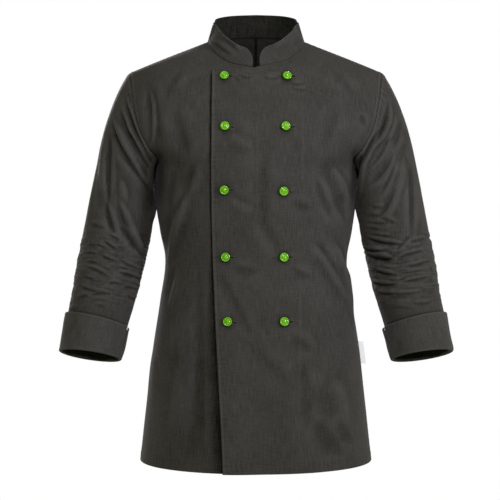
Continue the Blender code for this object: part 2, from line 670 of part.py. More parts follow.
def build_label(finish):
    """A plain woven tab that stands out of the wearer's left side seam."""
    out, long = LABEL_SIZE
    heights = LABEL_HEIGHT + np.linspace(-long / 2, long / 2, 5)
    row = np.interp(heights, [r[0] for r in BODY_ROWS], np.arange(len(BODY_ROWS)))
    seam = body_point(np.ones_like(row), row, True)
    steps = CLOTH / 2 + LABEL_SEAT + np.linspace(0, out, 3)
    points = seam + steps[:, None, None] * np.array([1.0, LABEL_TURN, 0.0])
    faces = grid_faces(len(steps), len(heights))
    return thicken(add_object("label_tab", points.reshape(-1, 3), faces, finish), LABEL_CLOTH)


def main():
    clear_scene()
    cloth = material("charcoal_cotton_twill", (0.045, 0.043, 0.038), 0.85)
    plastic = material("green_plastic", (0.16, 0.55, 0.02), 0.3)
    tape = material("white_woven_tape", (0.80, 0.80, 0.80), 0.8)
    top_front = build_front(1, cloth)
    build_front(-1, cloth)
    for side in (-1, 1):
        build_back(side, cloth)
        build_sleeve(side, cloth)
        build_cuff(side, cloth)
    build_collar(cloth)
    for column, places in BUTTON_PLACES.items():
        for number, (x, z) in enumerate(places, start=1):
            build_button(f"button_{column}_{number}", x, z, top_front, plastic)
    build_label(tape)


main()
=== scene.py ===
# %% [markdown]
# # A double-breasted chef jacket in its worn, hollow shape
# A real jacket is a handful of flat cotton pieces sewn into a hollow form: two fronts that overlap, a back
# in two halves, two set-in sleeves with turned-back cuffs and a stand collar. It could be modelled as one
# draped mesh, but then no seam would lie where a tailor puts it. Here each piece is a surface of its own,
# worked out with numpy and then given the thickness of its cloth, so the jacket stays open at its neck,
# hem and cuffs.

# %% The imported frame
import json
import math

import bpy
import numpy as np
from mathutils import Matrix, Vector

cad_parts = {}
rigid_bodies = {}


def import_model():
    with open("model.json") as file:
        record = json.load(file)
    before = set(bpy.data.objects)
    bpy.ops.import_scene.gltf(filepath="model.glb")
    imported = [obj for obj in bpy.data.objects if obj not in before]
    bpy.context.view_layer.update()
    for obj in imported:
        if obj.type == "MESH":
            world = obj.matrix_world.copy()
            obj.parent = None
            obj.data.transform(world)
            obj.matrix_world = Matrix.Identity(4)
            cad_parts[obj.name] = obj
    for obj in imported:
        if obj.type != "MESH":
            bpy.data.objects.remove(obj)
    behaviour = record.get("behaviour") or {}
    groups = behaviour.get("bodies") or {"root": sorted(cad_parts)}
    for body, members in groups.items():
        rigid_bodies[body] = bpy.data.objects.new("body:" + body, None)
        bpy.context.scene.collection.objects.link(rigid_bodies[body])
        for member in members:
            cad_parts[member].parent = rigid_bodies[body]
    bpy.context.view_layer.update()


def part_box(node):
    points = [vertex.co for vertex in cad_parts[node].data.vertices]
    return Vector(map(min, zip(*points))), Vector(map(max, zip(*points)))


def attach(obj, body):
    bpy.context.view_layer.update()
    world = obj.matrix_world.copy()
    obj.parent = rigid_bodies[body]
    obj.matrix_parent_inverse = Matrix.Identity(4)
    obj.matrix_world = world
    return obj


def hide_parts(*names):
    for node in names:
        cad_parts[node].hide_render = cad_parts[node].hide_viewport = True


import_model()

# %% [markdown]
# ## Smooth curves through a few rows
# A pattern cutter writes a garment down as a short table of widths and depths at marked heights. A smooth
# curve through those rows gives every height between them. It could be a Blender curve object, but a
# Catmull-Rom curve in numpy can be read at thousands of places at once.

# %% Curves
def through(values, at):
    """Catmull-Rom curve through the rows of a table, read at fractional row numbers."""
    values = np.asarray(values, float)
    last = len(values) - 1
    at = np.asarray(at, float)
    row = np.clip(np.floor(at).astype(int), 0, last - 1)
    part = (at - row)[..., None]
    before, after = values[np.maximum(row - 1, 0)], values[np.minimum(row + 2, last)]
    start, end = values[row], values[row + 1]
    slope_start = np.where((row > 0)[..., None], (end - before) / 2, end - start)
    slope_end = np.where((row + 2 <= last)[..., None], (after - start) / 2, end - start)
    cube, square = part**3, part**2
    return (
        (2 * cube - 3 * square + 1) * start
        + (cube - 2 * square + part) * slope_start
        + (3 * square - 2 * cube) * end
        + (cube - square) * slope_end
    )


def through_with_corner(values, at, corner):
    """The same curve, but with a corner at one row."""
    low = through(values[: corner + 1], np.minimum(at, corner))
    high = through(values[corner:], np.maximum(at - corner, 0.0))
    return np.where((at <= corner)[..., None], low, high)


def ease(value, start=0.0, end=1.0):
    """0 up to the start, 1 from the end on, and the cubic 3t^2 - 2t^3 between."""
    share = np.clip((value - start) / (end - start), 0.0, 1.0)
    return share * share * (3 - 2 * share)


def blend(ends, share):
    """From the first of two values to the second."""
    return ends[0] + (ends[1] - ends[0]) * share


def bell(distance, width):
    """A Gauss bell: 1 at distance 0, and 1/e at one width."""
    return np.exp(-((distance / width) ** 2))


def unit(vectors):
    """The same directions with length 1."""
    return vectors / np.maximum(np.linalg.norm(vectors, axis=-1, keepdims=True), 1e-12)


def square_to(other, direction):
    """What is left of a direction at right angles to another one, with length 1."""
    return unit(direction - other * np.sum(direction * other, axis=-1, keepdims=True))


# %% Noise and spacing
LATTICE = 64  # cells until the noise repeats
RULER_MARKS = 4000


def soft_noise(u, v, cell_u, cell_v, seed):
    """Smooth noise from -1 to 1: random numbers on a lattice with such cells, eased between."""
    lattice = np.random.default_rng(seed).uniform(-1, 1, (LATTICE, LATTICE))
    u, v = u / cell_u, v / cell_v
    left, low = np.floor(u).astype(int), np.floor(v).astype(int)
    right_share, high_share = ease(u - left), ease(v - low)
    at = lambda i, j: lattice[(left + i) % LATTICE, (low + j) % LATTICE]
    lower = blend((at(0, 0), at(1, 0)), right_share)
    upper = blend((at(0, 1), at(1, 1)), right_share)
    return blend((lower, upper), high_share)


def spaced(start, end, count, fine=(), rim=()):
    """Numbers from start to end, closer together round the fine places, with given steps at the rims.

    Each fine place is (place, width, how many times as dense); the numbers are where the running sum of
    the density passes equal shares. rim adds numbers that far inside both ends, in place of any others
    very close to them.
    """
    ruler = np.linspace(start, end, RULER_MARKS)
    density = np.ones_like(ruler)
    for place, width, gain in fine:
        density += gain * bell(ruler - place, width)
    total = np.concatenate([[0], np.cumsum((density[1:] + density[:-1]) / 2)])
    even = np.interp(np.linspace(0, total[-1], count), total, ruler)
    even[0], even[-1] = start, end
    extra = [start + step for step in rim] + [end - step for step in rim]
    if rim:
        even = even[[not any(0 < abs(value - e) < 0.5 * abs(rim[0]) for e in extra) for value in even]]
    return np.unique(np.round(np.concatenate([even, extra]), 9))

# %% [markdown]
# ## From numbers to cloth
# Real jacket cotton is about a millimetre thick and its cut edges are turned in, so an edge looks round.
# Solidify could add the thickness, but its rims are square. Here the wall is worked out too: the middle
# surface moves half the thickness out and in along its normals, less near a border, and a strip of faces
# closes the border.

# %% Making a mesh
def new_piece(name, points, faces, finish, grain=None, ridge=None):
    """Puts arrays of points and of faces (any number of arrays, one per corner count) into a mesh.

    grain is one (u, v) pair per face corner, in metres across and along the piece. The last argument is one
    number per point, which the finish reads as wear and painted shade and light: about -4 in the deepest
    painted shade, 0 where it is even and 1.6 where the cloth is palest, rubbed or with a painted highlight.
    """
    mesh = bpy.data.meshes.new(name)
    corners = np.concatenate([np.asarray(group).ravel() for group in faces])
    widths = np.concatenate([np.full(len(group), np.asarray(group).shape[1]) for group in faces])
    mesh.vertices.add(len(points))
    mesh.vertices.foreach_set("co", np.ascontiguousarray(points, np.float32).ravel())
    mesh.loops.add(len(corners))
    mesh.loops.foreach_set("vertex_index", corners.astype(np.int32))
    mesh.polygons.add(len(widths))
    mesh.polygons.foreach_set("loop_start", np.concatenate([[0], np.cumsum(widths)[:-1]]).astype(np.int32))
    mesh.update(calc_edges=True)
    mesh.shade_smooth()
    if grain is not None:
        mesh.uv_layers.new(name="grain").data.foreach_set("uv", np.ascontiguousarray(grain, np.float32).ravel())
    if ridge is not None:
        mesh.attributes.new("ridge", "FLOAT", "POINT").data.foreach_set("value", ridge.astype(np.float32))
    mesh.validate()
    mesh.materials.append(finish)
    piece = bpy.data.objects.new(name, mesh)
    bpy.context.scene.collection.objects.link(piece)
    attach(piece, "root")
    print(name, "-", int((widths - 2).sum()), "triangles")
    return piece


def quads_of(rows, columns, closed=False):
    """The corners of a grid's quads as row numbers and column numbers, four to a quad."""
    row, column = np.meshgrid(np.arange(rows - 1), np.arange(columns if closed else columns - 1), indexing="ij")
    row, column = row.ravel()[:, None], column.ravel()[:, None]
    return row + np.array([0, 0, 1, 1]), column + np.array([0, 1, 1, 0])


def cells_of(grid, present=None, closed=False):
    """A grid's quads: the row, column and point numbers of their corners, four to a quad.

    Where only some points are present, a quad is there if all its corners are.
    """
    rows, columns = grid.shape[:2]
    at_row, at_column = quads_of(rows, columns, closed)
    if present is not None:
        kept = present[at_row, at_column].all(axis=1)
        at_row, at_column = at_row[kept], at_column[kept]
    return at_row, at_column, at_row * columns + at_column % columns


def outward_normals(points, corners, heart):
    """Unit normals of a grid's points: the sum of their faces' normals, on the side away from the heart.

    Also says whether the faces have to be turned round to look that way.
    """
    flat = points.reshape(-1, 3)
    a, b, c, d = (flat[corners[:, k]] for k in range(4))
    face_normal = np.cross(c - a, d - b)
    total = np.stack(
        [np.bincount(corners.ravel(), np.repeat(face_normal[:, k], 4), len(flat)) for k in range(3)], axis=-1
    )
    away = np.sum(total * (flat - np.broadcast_to(heart, points.shape).reshape(-1, 3)))
    return unit(total).reshape(points.shape) * np.sign(away), away < 0


def relieved(points, relief, heart, present=None, closed=False):
    """The points moved out along their normals by a relief."""
    corners = cells_of(points, present, closed)[2]
    return points + outward_normals(points, corners, heart)[0] * relief[..., None]


def running_length(points, axis):
    """Distance along a grid from its first row (axis 0) or column (axis 1)."""
    steps = np.linalg.norm(np.diff(points, axis=axis), axis=-1)
    first = np.zeros_like(np.take(steps, [0], axis=axis))
    return np.concatenate([first, np.cumsum(steps, axis=axis)], axis=axis)


# %% Wear and painted shade
INSIDE_SHADE = -2.6  # painted shade of the inner side, where little light falls
AVERAGING_ROUNDS = 12
FULL_RIDGE = 0.0006  # a crest this high over its neighbourhood counts as nearly 1
# Painted shade along the armpits, where sleeve and body turn in against each other
ARMPIT_SHADE = -3.6
ARMPIT_X_LEFT = 0.172
ARMPIT_X_RIGHT = (0.1705, 0.1765)  # from the armpit down to the waist
ARMPIT_BEND = (0.22, 0.30)  # how far down the line on the right starts and ends its bend
ARMPIT_SQUEEZE = (0.68, 1.2)  # makes the shade wider on the right than on the left
ARMPIT_REACH = 0.1  # farther away no shade is left
ARMPIT_LOWER_END = (-0.335, -0.26)  # heights between which the shade fades at either end
ARMPIT_UPPER_END = (-0.22, -0.185)


def ridges_of(relief, closed=False):
    """How far each point of a relief stands over its neighbourhood, as -1 to 1.

    The neighbourhood is the relief after twelve rounds of averaging with the next rows and columns.
    """
    around = relief
    for _ in range(AVERAGING_ROUNDS):
        pad = np.pad(around, ((1, 1), (0, 0)), "edge")
        around = (pad[:-2] + 2 * around + pad[2:]) / 4
        pad = np.pad(around, ((0, 0), (1, 1)), "wrap" if closed else "edge")
        around = (pad[:, :-2] + 2 * around + pad[:, 2:]) / 4
    return np.tanh((relief - around) / FULL_RIDGE)


def painted_armpit_shade(points, reach):
    """Painted shade, down to -3.6, along the armpits, where sleeve and body lie against each other and little light
    gets in.
    """
    x, z = points[..., 0], points[..., 2]
    right_line = blend(ARMPIT_X_RIGHT, ease(-z, *ARMPIT_BEND))
    right, left = ARMPIT_SQUEEZE
    aside = np.where(x < 0, right * (x + right_line), left * (x - ARMPIT_X_LEFT))
    strength = ARMPIT_SHADE * bell(np.minimum(np.abs(aside), ARMPIT_REACH), reach)
    return strength * ease(z, *ARMPIT_LOWER_END) * (1 - ease(z, *ARMPIT_UPPER_END))


# %% A wall of cloth
CLOTH = 0.0016  # its thickness, with the turned-in edges
RIM_SHARE = 0.3  # share of the thickness that is left at a turned border
RIM_ROWS = 4  # rows from a border that its rounding can reach


def rim_of(corners):
    """The border edges of a set of quads: those that only one quad uses."""
    edges = np.stack([corners, np.roll(corners, -1, axis=1)], axis=-1).reshape(-1, 2)
    _, place, uses = np.unique(np.sort(edges, axis=1), axis=0, return_index=True, return_counts=True)
    return edges[place[uses == 1]]


def distance_to(rim, points):
    """Distance of a grid's points from the border, run along its rows and columns for the first few."""
    near = np.full(points.shape[:2], np.inf)
    near.ravel()[rim.ravel()] = 0.0
    for _ in range(RIM_ROWS):
        for axis, step in ((0, 1), (0, -1), (1, 1), (1, -1)):
            gap = np.linalg.norm(points - np.roll(points, step, axis), axis=-1)
            near = np.minimum(near, np.roll(near, step, axis) + gap)
    return near


def cloth_wall(name, middle, thickness, heart, finish, present=None, closed=False, ridge=0.0, inside=INSIDE_SHADE):
    """A sheet of cloth round a grid of middle points: outer side, inner side and border strips.

    Every point moves half the thickness along its normal to either side. Within half a thickness of a
    border that distance shrinks as a circle does, so the border is round. The last but one argument is the
    wear and painted shade and light of the outer side, and inside is the painted shade of the inner one.
    Returns the piece, the points of its outer side and their normals.
    """
    size = middle.shape[:2]
    count = size[0] * size[1]
    at_row, at_column, corners = cells_of(middle, present, closed)
    normal, turned = outward_normals(middle, corners, heart)
    rim = rim_of(corners)
    thickness = np.broadcast_to(thickness, size)
    off_rim = np.clip(distance_to(rim, middle) / (thickness / 2), 0, 1)
    round_off = np.sqrt(1 - (1 - RIM_SHARE**2) * (1 - off_rim) ** 2)
    offset = normal * (thickness / 2 * round_off)[..., None]
    outer, inner = middle + offset, middle - offset
    strip = np.stack([rim[:, 1], rim[:, 0], rim[:, 0] + count, rim[:, 1] + count], axis=1)
    faces = np.concatenate([corners, corners[:, ::-1] + count, strip])
    grain = np.stack([running_length(middle, 1), running_length(middle, 0)], axis=-1)
    on_strip = grain.reshape(-1, 2)[strip % count]
    if closed:
        lap = grain[:, :1].copy()
        lap[..., 0] = grain[:, -1:, 0] + np.linalg.norm(middle[:, :1] - middle[:, -1:], axis=-1)
        grain = np.concatenate([grain, lap], axis=1)
    on_face = grain[at_row, at_column]
    corner_grain = np.concatenate([on_face, on_face[:, ::-1], on_strip])
    if turned:
        faces, corner_grain = faces[:, ::-1], corner_grain[:, ::-1]
    used, index = np.unique(faces, return_inverse=True)
    points = np.concatenate([outer.reshape(-1, 3), inner.reshape(-1, 3)])[used]
    shade_and_wear = np.concatenate([np.broadcast_to(side, size).ravel() for side in (ridge, inside)])[used]
    piece = new_piece(name, points, [index.reshape(faces.shape)], finish, corner_grain, ridge=shade_and_wear)
    return piece, outer, normal

# %% [markdown]
# ## Charcoal cotton
# Chef's cloth is a sturdy cotton, yarn-dyed or piece-dyed in charcoal. Close up one sees thicker and thinner
# threads running both ways (slubs), a slight cloudiness of the dye, and a soft fuzz that catches light
# where the cloth turns away. An image would show all that, but it would stretch over the folds. Noise
# that is pulled long along the threads, read from each piece's own grain in metres, follows the cut.

# %% Colours and nodes
def hex_colour(text):
    """An sRGB colour such as #3e3d3a as linear red, green, blue and 1."""
    channels = [int(text[k : k + 2], 16) / 255 for k in (1, 3, 5)]
    return (*[c / 12.92 if c <= 0.04045 else ((c + 0.055) / 1.055) ** 2.4 for c in channels], 1.0)


def add_node(tree, kind, values=None, links=None, **settings):
    """Adds a node, sets its own settings and its sockets' values, and links other nodes' outputs in."""
    made = tree.nodes.new(kind)
    for key, value in settings.items():
        setattr(made, key, value)
    for socket, value in (values or {}).items():
        made.inputs[socket].default_value = value
    for socket, source in (links or {}).items():
        tree.links.new(source, made.inputs[socket])
    return made


def new_finish(name, **sockets):
    """A material with a Principled shader whose constant sockets are set directly."""
    made = bpy.data.materials.new(name)
    made.use_nodes = True
    shader = made.node_tree.nodes["Principled BSDF"]
    for socket, value in sockets.items():
        shader.inputs[socket.replace("_", " ")].default_value = value
    return made, made.node_tree, shader


def base_colour(tree, shader, dark, light, share):
    """Blends the base colour from a dark to a light one, by a share that other nodes give."""
    ends = {6: hex_colour(dark), 7: hex_colour(light)}
    blended = add_node(tree, "ShaderNodeMix", ends, {0: share}, data_type="RGBA")
    tree.links.new(blended.outputs[2], shader.inputs["Base Color"])


# %% Woven charcoal cotton
SLUB = {"Scale": 1.0, "Detail": 2.0, "Roughness": 0.6}
WARP = {"Scale": (600.0, 40.0, 1.0)}  # a slub is 1.7 mm wide and 25 mm high
WEFT = {"Scale": (60.0, 540.0, 1.0), "Location": (7.0, 3.0, 0.0)}  # 17 mm wide and 1.9 mm high


def woven_cotton(name, dark, light):
    """Piece-dyed cotton: matt, with slubs both ways and an uneven twill surface.

    The slubs are noise, and the weft's count a little over half as much as the warp's. The real twill rib
    is about 0.6 mm apart, too fine for the view: a low diagonal ripple, 8.5 mm apart and shaken by fine
    noise, stands for it. A per-point attribute makes crests of folds a little paler, partly as wear and
    partly as painted highlight, and darkens creases, armpits, the inner side and shaded edges as painted shade.
    """
    made, tree, shader = new_finish(
        name, Roughness=0.86, Sheen_Weight=0.11, Sheen_Roughness=0.45, Specular_IOR_Level=0.10
    )
    shader.inputs["Sheen Tint"].default_value = hex_colour("#d0cdcb")
    grain = add_node(tree, "ShaderNodeUVMap", uv_map="grain").outputs["UV"]
    slubs = []
    for way in (WARP, WEFT):
        along = add_node(tree, "ShaderNodeMapping", way, {"Vector": grain}).outputs[0]
        slubs.append(add_node(tree, "ShaderNodeTexNoise", SLUB, {"Vector": along}).outputs["Fac"])
    less = add_node(tree, "ShaderNodeMath", {1: 0.6, 2: 0.2}, {0: slubs[1]}, operation="MULTIPLY_ADD")
    thread = add_node(tree, "ShaderNodeMath", {}, {0: slubs[0], 1: less.outputs[0]}, operation="ADD").outputs[0]
    place = add_node(tree, "ShaderNodeTexCoord").outputs["Object"]
    cloud = add_node(tree, "ShaderNodeTexNoise", {"Scale": 22.0, "Detail": 3.0, "Roughness": 0.5}, {"Vector": place})
    shade_and_wear = add_node(tree, "ShaderNodeAttribute", attribute_name="ridge").outputs["Fac"]
    mixed = thread
    for source, share in ((cloud.outputs["Fac"], 0.42), (shade_and_wear, 0.24)):
        more = add_node(tree, "ShaderNodeMath", {1: share}, {0: source, 2: mixed}, operation="MULTIPLY_ADD")
        mixed = more.outputs[0]
    shade = add_node(tree, "ShaderNodeMapRange", {"From Min": 0.38, "From Max": 1.63}, {"Value": mixed})
    base_colour(tree, shader, dark, light, shade.outputs["Result"])
    rib = add_node(
        tree,
        "ShaderNodeTexWave",
        {"Scale": 52.0, "Distortion": 1.2, "Detail": 1.0, "Detail Scale": 40.0},
        {"Vector": grain},
        bands_direction="DIAGONAL",
    )
    relief = add_node(
        tree, "ShaderNodeMath", {1: 0.35}, {0: rib.outputs["Fac"], 2: thread}, operation="MULTIPLY_ADD"
    )
    bump = add_node(tree, "ShaderNodeBump", {"Strength": 0.36, "Distance": 0.0007}, {"Height": relief.outputs[0]})
    tree.links.new(bump.outputs[0], shader.inputs["Normal"])
    return made


# Its dark end is reached mainly where painted shade is added through the per-point attribute.
COTTON = woven_cotton("charcoal_cotton_twill_woven", "#0f1007", "#4e4d49")
THREAD, tree, shader = new_finish("charcoal_polyester_sewing_thread_spun", Roughness=0.5, Sheen_Weight=0.1)
place = add_node(tree, "ShaderNodeTexCoord").outputs["Object"]
twist = add_node(tree, "ShaderNodeTexNoise", {"Scale": 900.0, "Detail": 1.0}, {"Vector": place})
base_colour(tree, shader, "#353330", "#55524e", twist.outputs["Fac"])

# %% [markdown]
# ## Green plastic and white tape
# The studs are injection-moulded plastic in a bright lime green: smooth and glossy, with a sharp highlight
# on each dome. The side tab is a folded woven tape with a silky satin face. Both colours are nearly even,
# so a little noise in colour and gloss is enough to keep them from looking painted.

# %% Moulded plastic and woven tape
PLASTIC, tree, shader = new_finish("green_polyester_button_moulded", IOR=1.5, Coat_Weight=1.0, Coat_Roughness=0.10)
place = add_node(tree, "ShaderNodeTexCoord").outputs["Object"]
flow = add_node(tree, "ShaderNodeTexNoise", {"Scale": 260.0, "Detail": 2.0}, {"Vector": place}).outputs["Fac"]
base_colour(tree, shader, "#63b003", "#7bcf06", flow)
gloss = {"From Min": 0.3, "From Max": 0.7, "To Min": 0.12, "To Max": 0.22}
polish = add_node(tree, "ShaderNodeMapRange", gloss, {"Value": flow})
tree.links.new(polish.outputs["Result"], shader.inputs["Roughness"])

# A weak emission paints light onto the tape, so it stays nearly white where it is shaded.
TAPE, tree, shader = new_finish("white_polyester_tape_woven", Sheen_Weight=0.2, Roughness=0.6, Emission_Strength=0.42)
shader.inputs["Emission Color"].default_value = hex_colour("#f2f4ff")
grain = add_node(tree, "ShaderNodeUVMap", uv_map="grain").outputs["UV"]
# The tape's threads are 0.15 mm apart; they are drawn at 1.4 mm.
weft = add_node(
    tree, "ShaderNodeTexWave", {"Scale": 220.0, "Distortion": 0.6}, {"Vector": grain}, bands_direction="Y"
).outputs["Fac"]
base_colour(tree, shader, "#efefed", "#ffffff", weft)
lines = add_node(tree, "ShaderNodeBump", {"Strength": 0.4, "Distance": 0.0003}, {"Height": weft})
tree.links.new(lines.outputs[0], shader.inputs["Normal"])
print("finishes:", [m.name for m in (COTTON, THREAD, PLASTIC, TAPE)])

# %% [markdown]
# ## The form of the body
# The body of the jacket is a tube below the arms and four flaps above them. Below the arm each height is
# written as a half width and a depth in front and behind; above it each row runs from the centre line or
# the neckline to the armhole. Every row is a conic, which is an ellipse whose fullness can be chosen, so a
# few numbers give the rounded, slightly boxy section of a worn jacket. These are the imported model's own
# numbers: the cloth has to lie where its solids lie.

# %% The body's rows
UNDERARM = (0.181, 0.005, -0.232)
SHOULDER_POINT = (0.227, 0.008, -0.055)
NECK_POINT = 0.087  # from the centre line to the neck's side
FRONT_NECK = (0.0, -0.080, -0.057)  # the middle of the neckline in front, and behind
BACK_NECK = (0.0, 0.055, 0.016)
BODY_PULL = 0.80  # weight of the conics below the arms: how far they fill their corners
BODY_ROWS = (
    # z, half_width, front, back, front_drop
    (-0.750, 0.2065, 0.152, 0.136, 0.005),
    (-0.650, 0.1960, 0.147, 0.128, 0.003),
    (-0.550, 0.1845, 0.139, 0.117, 0.001),
    (-0.465, 0.1710, 0.130, 0.106, 0.000),
    (-0.395, 0.1622, 0.126, 0.100, 0.000),
    (-0.340, 0.1718, 0.129, 0.103, 0.000),
    (-0.285, 0.1795, 0.133, 0.109, 0.000),
    (-0.232, UNDERARM[0], 0.136, 0.114, 0.000),
)
FRONT_ROWS = (
    # inner x, y, z, corner x, y, z, outer x, y, z, weight
    ((0.0, -0.1325, -0.200), (0.176, -0.136, -0.214), (0.170, -0.045, -0.213), 0.85),
    ((0.0, -0.123, -0.158), (0.178, -0.130, -0.184), (0.186, -0.063, -0.195), 0.85),
    ((0.0, -0.107, -0.108), (0.181, -0.119, -0.142), (0.2035, -0.063, -0.163), 0.85),
    (FRONT_NECK, (0.174, -0.104, -0.092), (0.2130, -0.055, -0.129), 0.85),
    ((0.048, -0.066, -0.0455), (0.168, -0.083, -0.059), (0.2190, -0.040, -0.096), 0.9),
    ((0.0765, -0.034, -0.0215), (0.160, -0.043, -0.0335), (0.2240, -0.018, -0.0655), 1.0),
    ((NECK_POINT, 0.002, 0.0), (0.157, 0.005, -0.0262), SHOULDER_POINT, 1.0),
)
BACK_ROWS = (
    ((0.0, 0.1155, -0.184), (0.178, 0.118, -0.205), (0.175, 0.044, -0.214), 0.85),
    ((0.0, 0.1120, -0.124), (0.182, 0.115, -0.165), (0.188, 0.063, -0.193), 0.85),
    ((0.0, 0.0960, -0.058), (0.183, 0.105, -0.120), (0.2025, 0.066, -0.161), 0.85),
    (BACK_NECK, (0.172, 0.087, -0.065), (0.2125, 0.060, -0.128), 0.85),
    ((0.042, 0.049, 0.0135), (0.165, 0.066, -0.041), (0.2185, 0.047, -0.096), 0.9),
    ((0.0735, 0.029, 0.0065), (0.160, 0.037, -0.0290), (0.2240, 0.030, -0.0665), 1.0),
    ((NECK_POINT, 0.002, 0.0), (0.157, 0.005, -0.0262), SHOULDER_POINT, 1.0),
)
UNDERARM_ROW = len(BODY_ROWS) - 1
NECK_ROW = UNDERARM_ROW + 4
SHOULDER_ROW = UNDERARM_ROW + len(FRONT_ROWS)


def body_rows(front):
    """Inner ends, corners, outer ends and weights of all rows of a front or back half."""
    inner, corner, outer, weight = [], [], [], []
    for z, half_width, deep_front, deep_back, front_drop in BODY_ROWS:
        depth, drop = (-deep_front, front_drop) if front else (deep_back, 0.0)
        inner.append((0.0, depth, z - drop))
        corner.append((half_width, depth, z - drop))
        outer.append((half_width, UNDERARM[1], z))
        weight.append((BODY_PULL,))
    for row_inner, row_corner, row_outer, row_weight in FRONT_ROWS if front else BACK_ROWS:
        inner.append(row_inner)
        corner.append(row_corner)
        outer.append(row_outer)
        weight.append((row_weight,))
    return np.array(inner), np.array(corner), np.array(outer), np.array(weight)


ROWS_OF = {front: body_rows(front) for front in (True, False)}
print("body rows:", len(BODY_ROWS), "below the arm,", len(FRONT_ROWS), "above it")


# %% Places on the body
NEWTON_ROUNDS = 10


def body_point(across, row, front):
    """Points of the half with x >= 0: across is 0 at the centre and 1 at the side.

    With t = across, inner end A, corner B, outer end C and weight w the point is
    (A (1-t)^2 + 2 w B t (1-t) + C t^2) / ((1-t)^2 + 2 w t (1-t) + t^2).
    """
    inner, corner, outer, weight = ROWS_OF[front]
    share = np.asarray(across)[..., None]
    start = through_with_corner(inner, row, NECK_ROW)
    end = through_with_corner(outer, row, UNDERARM_ROW)
    pulled, pull = through(corner, row), through(weight, row)
    parts = (1 - share) ** 2, 2 * pull * share * (1 - share), share**2
    return (parts[0] * start + parts[1] * pulled + parts[2] * end) / (parts[0] + parts[1] + parts[2])


def body_normal(across, row, front):
    """Unit normals of that half, pointing out of the jacket: the cross product of its two slopes."""
    step = 1e-3
    inside = np.clip(across, step, 1 - step)
    within = np.clip(row, step, SHOULDER_ROW - step)
    sideways = body_point(inside + step, within, front) - body_point(inside - step, within, front)
    upwards = body_point(inside, within + step, front) - body_point(inside, within - step, front)
    return unit(np.cross(sideways, upwards) if front else np.cross(upwards, sideways))


def front_place(x, z):
    """across and row at which the front half passes a place (x, z) of the front view, by Newton's method."""
    row = np.interp(z, ROWS_OF[True][0][: NECK_ROW + 1, 2], np.arange(NECK_ROW + 1))
    across = np.clip(x / 0.3, 0.02, 0.9)
    step = 1e-4
    for _ in range(NEWTON_ROUNDS):
        here = body_point(across, row, True)
        by_across = (body_point(across + step, row, True) - here) / step
        by_row = (body_point(across, row + step, True) - here) / step
        miss_x, miss_z = x - here[..., 0], z - here[..., 2]
        area = by_across[..., 0] * by_row[..., 2] - by_row[..., 0] * by_across[..., 2]
        across_move = (miss_x * by_row[..., 2] - miss_z * by_row[..., 0]) / area
        row_move = (by_across[..., 0] * miss_z - by_across[..., 2] * miss_x) / area
        across = np.clip(across + across_move, 0.0, 0.98)
        row = np.clip(row + row_move, 0.0, SHOULDER_ROW - 0.2)
    return across, row

# %% [markdown]
# ## The double-breasted lap
# Both fronts run past the centre line, so the cloth is doubled over the chest and the jacket can be
# buttoned either way. The wearer's left front lies on top. Its lower free corner stands a little off the
# one below, as stiff cotton does.

# %% How the top front lies
LAYER_RISE = 0.0027  # how far the top front's middle lies over the under front's
LAYER_RISE_ENDS_X = (0.085, 0.130)
LAYER_RISE_ENDS_Z = (-0.058, -0.018)
LAP = 0.077  # from the centre line to the free edge
LAP_AT_HEM = 0.054
LAP_SWINGS_Z = (-0.20, -0.80)  # between these heights the free edge nears the centre line
LAP_LIFT = 0.013  # how far the free corner stands off
LAP_LIFT_Z = (-0.40, -0.73)
LAP_LIFT_REACH = 0.075
LAP_TOP = -0.062  # height of the free edge's upper end


def lap_edge(z):
    """Distance of a front's free edge past the centre line."""
    return blend((LAP, LAP_AT_HEM), ease(z, *LAP_SWINGS_Z) ** 1.5)


def top_front_rise(x, z):
    """How far the top front lies over the under front, and stands off at its free corner."""
    lying = LAYER_RISE * (1 - ease(x, *LAYER_RISE_ENDS_X)) * (1 - ease(z, *LAYER_RISE_ENDS_Z))
    from_edge = x + lap_edge(z)
    standing = LAP_LIFT * ease(z, *LAP_LIFT_Z) * ease(LAP_LIFT_REACH - from_edge, 0, LAP_LIFT_REACH)
    return lying + standing

# %% [markdown]
# ## Folds and creases
# Worn cotton keeps broad soft folds where it is slack and sharper creases where it is pushed together, such
# as the armpit and the elbow. Cloth simulation gives folds of its own choice; here each one belongs to a
# place, so each is a line on the garment with its own depth and width. Across the line the height is a
# bell, with a lower roll of the opposite sign beside it where the cloth is pushed up; along the line it
# fades out at both ends.

# %% Height of folds
FOLD_TAPER = 0.35  # share of a fold's length in which it rises or fades
FOLD_OVERRUN = 0.09  # share of its length that it runs past each end
CREASE_PIECES = 16
CREASE_TAPER = 0.4
CREASE_REACH = 3.2  # widths from the line, beyond which a crease no longer counts
ROLL_AT = 1.7  # widths from the line to the middle of the roll


def fold_height(across, down, folds, across_scale=1.0):
    """Sum of straight ridges and troughs: depth * bell(distance from the line) * taper at both ends."""
    total = np.zeros_like(across)
    for across0, down0, across1, down1, depth, width in folds:
        line = np.array([(across1 - across0) * across_scale, down1 - down0])
        length = np.hypot(*line)
        way = line / length
        dx, dz = (across - across0) * across_scale, down - down0
        along = dx * way[0] + dz * way[1]
        aside = -dx * way[1] + dz * way[0]
        fade = -FOLD_OVERRUN * length, (FOLD_TAPER - FOLD_OVERRUN) * length
        total += depth * bell(aside, width) * ease(along, *fade) * ease(length - along, *fade)
    return total


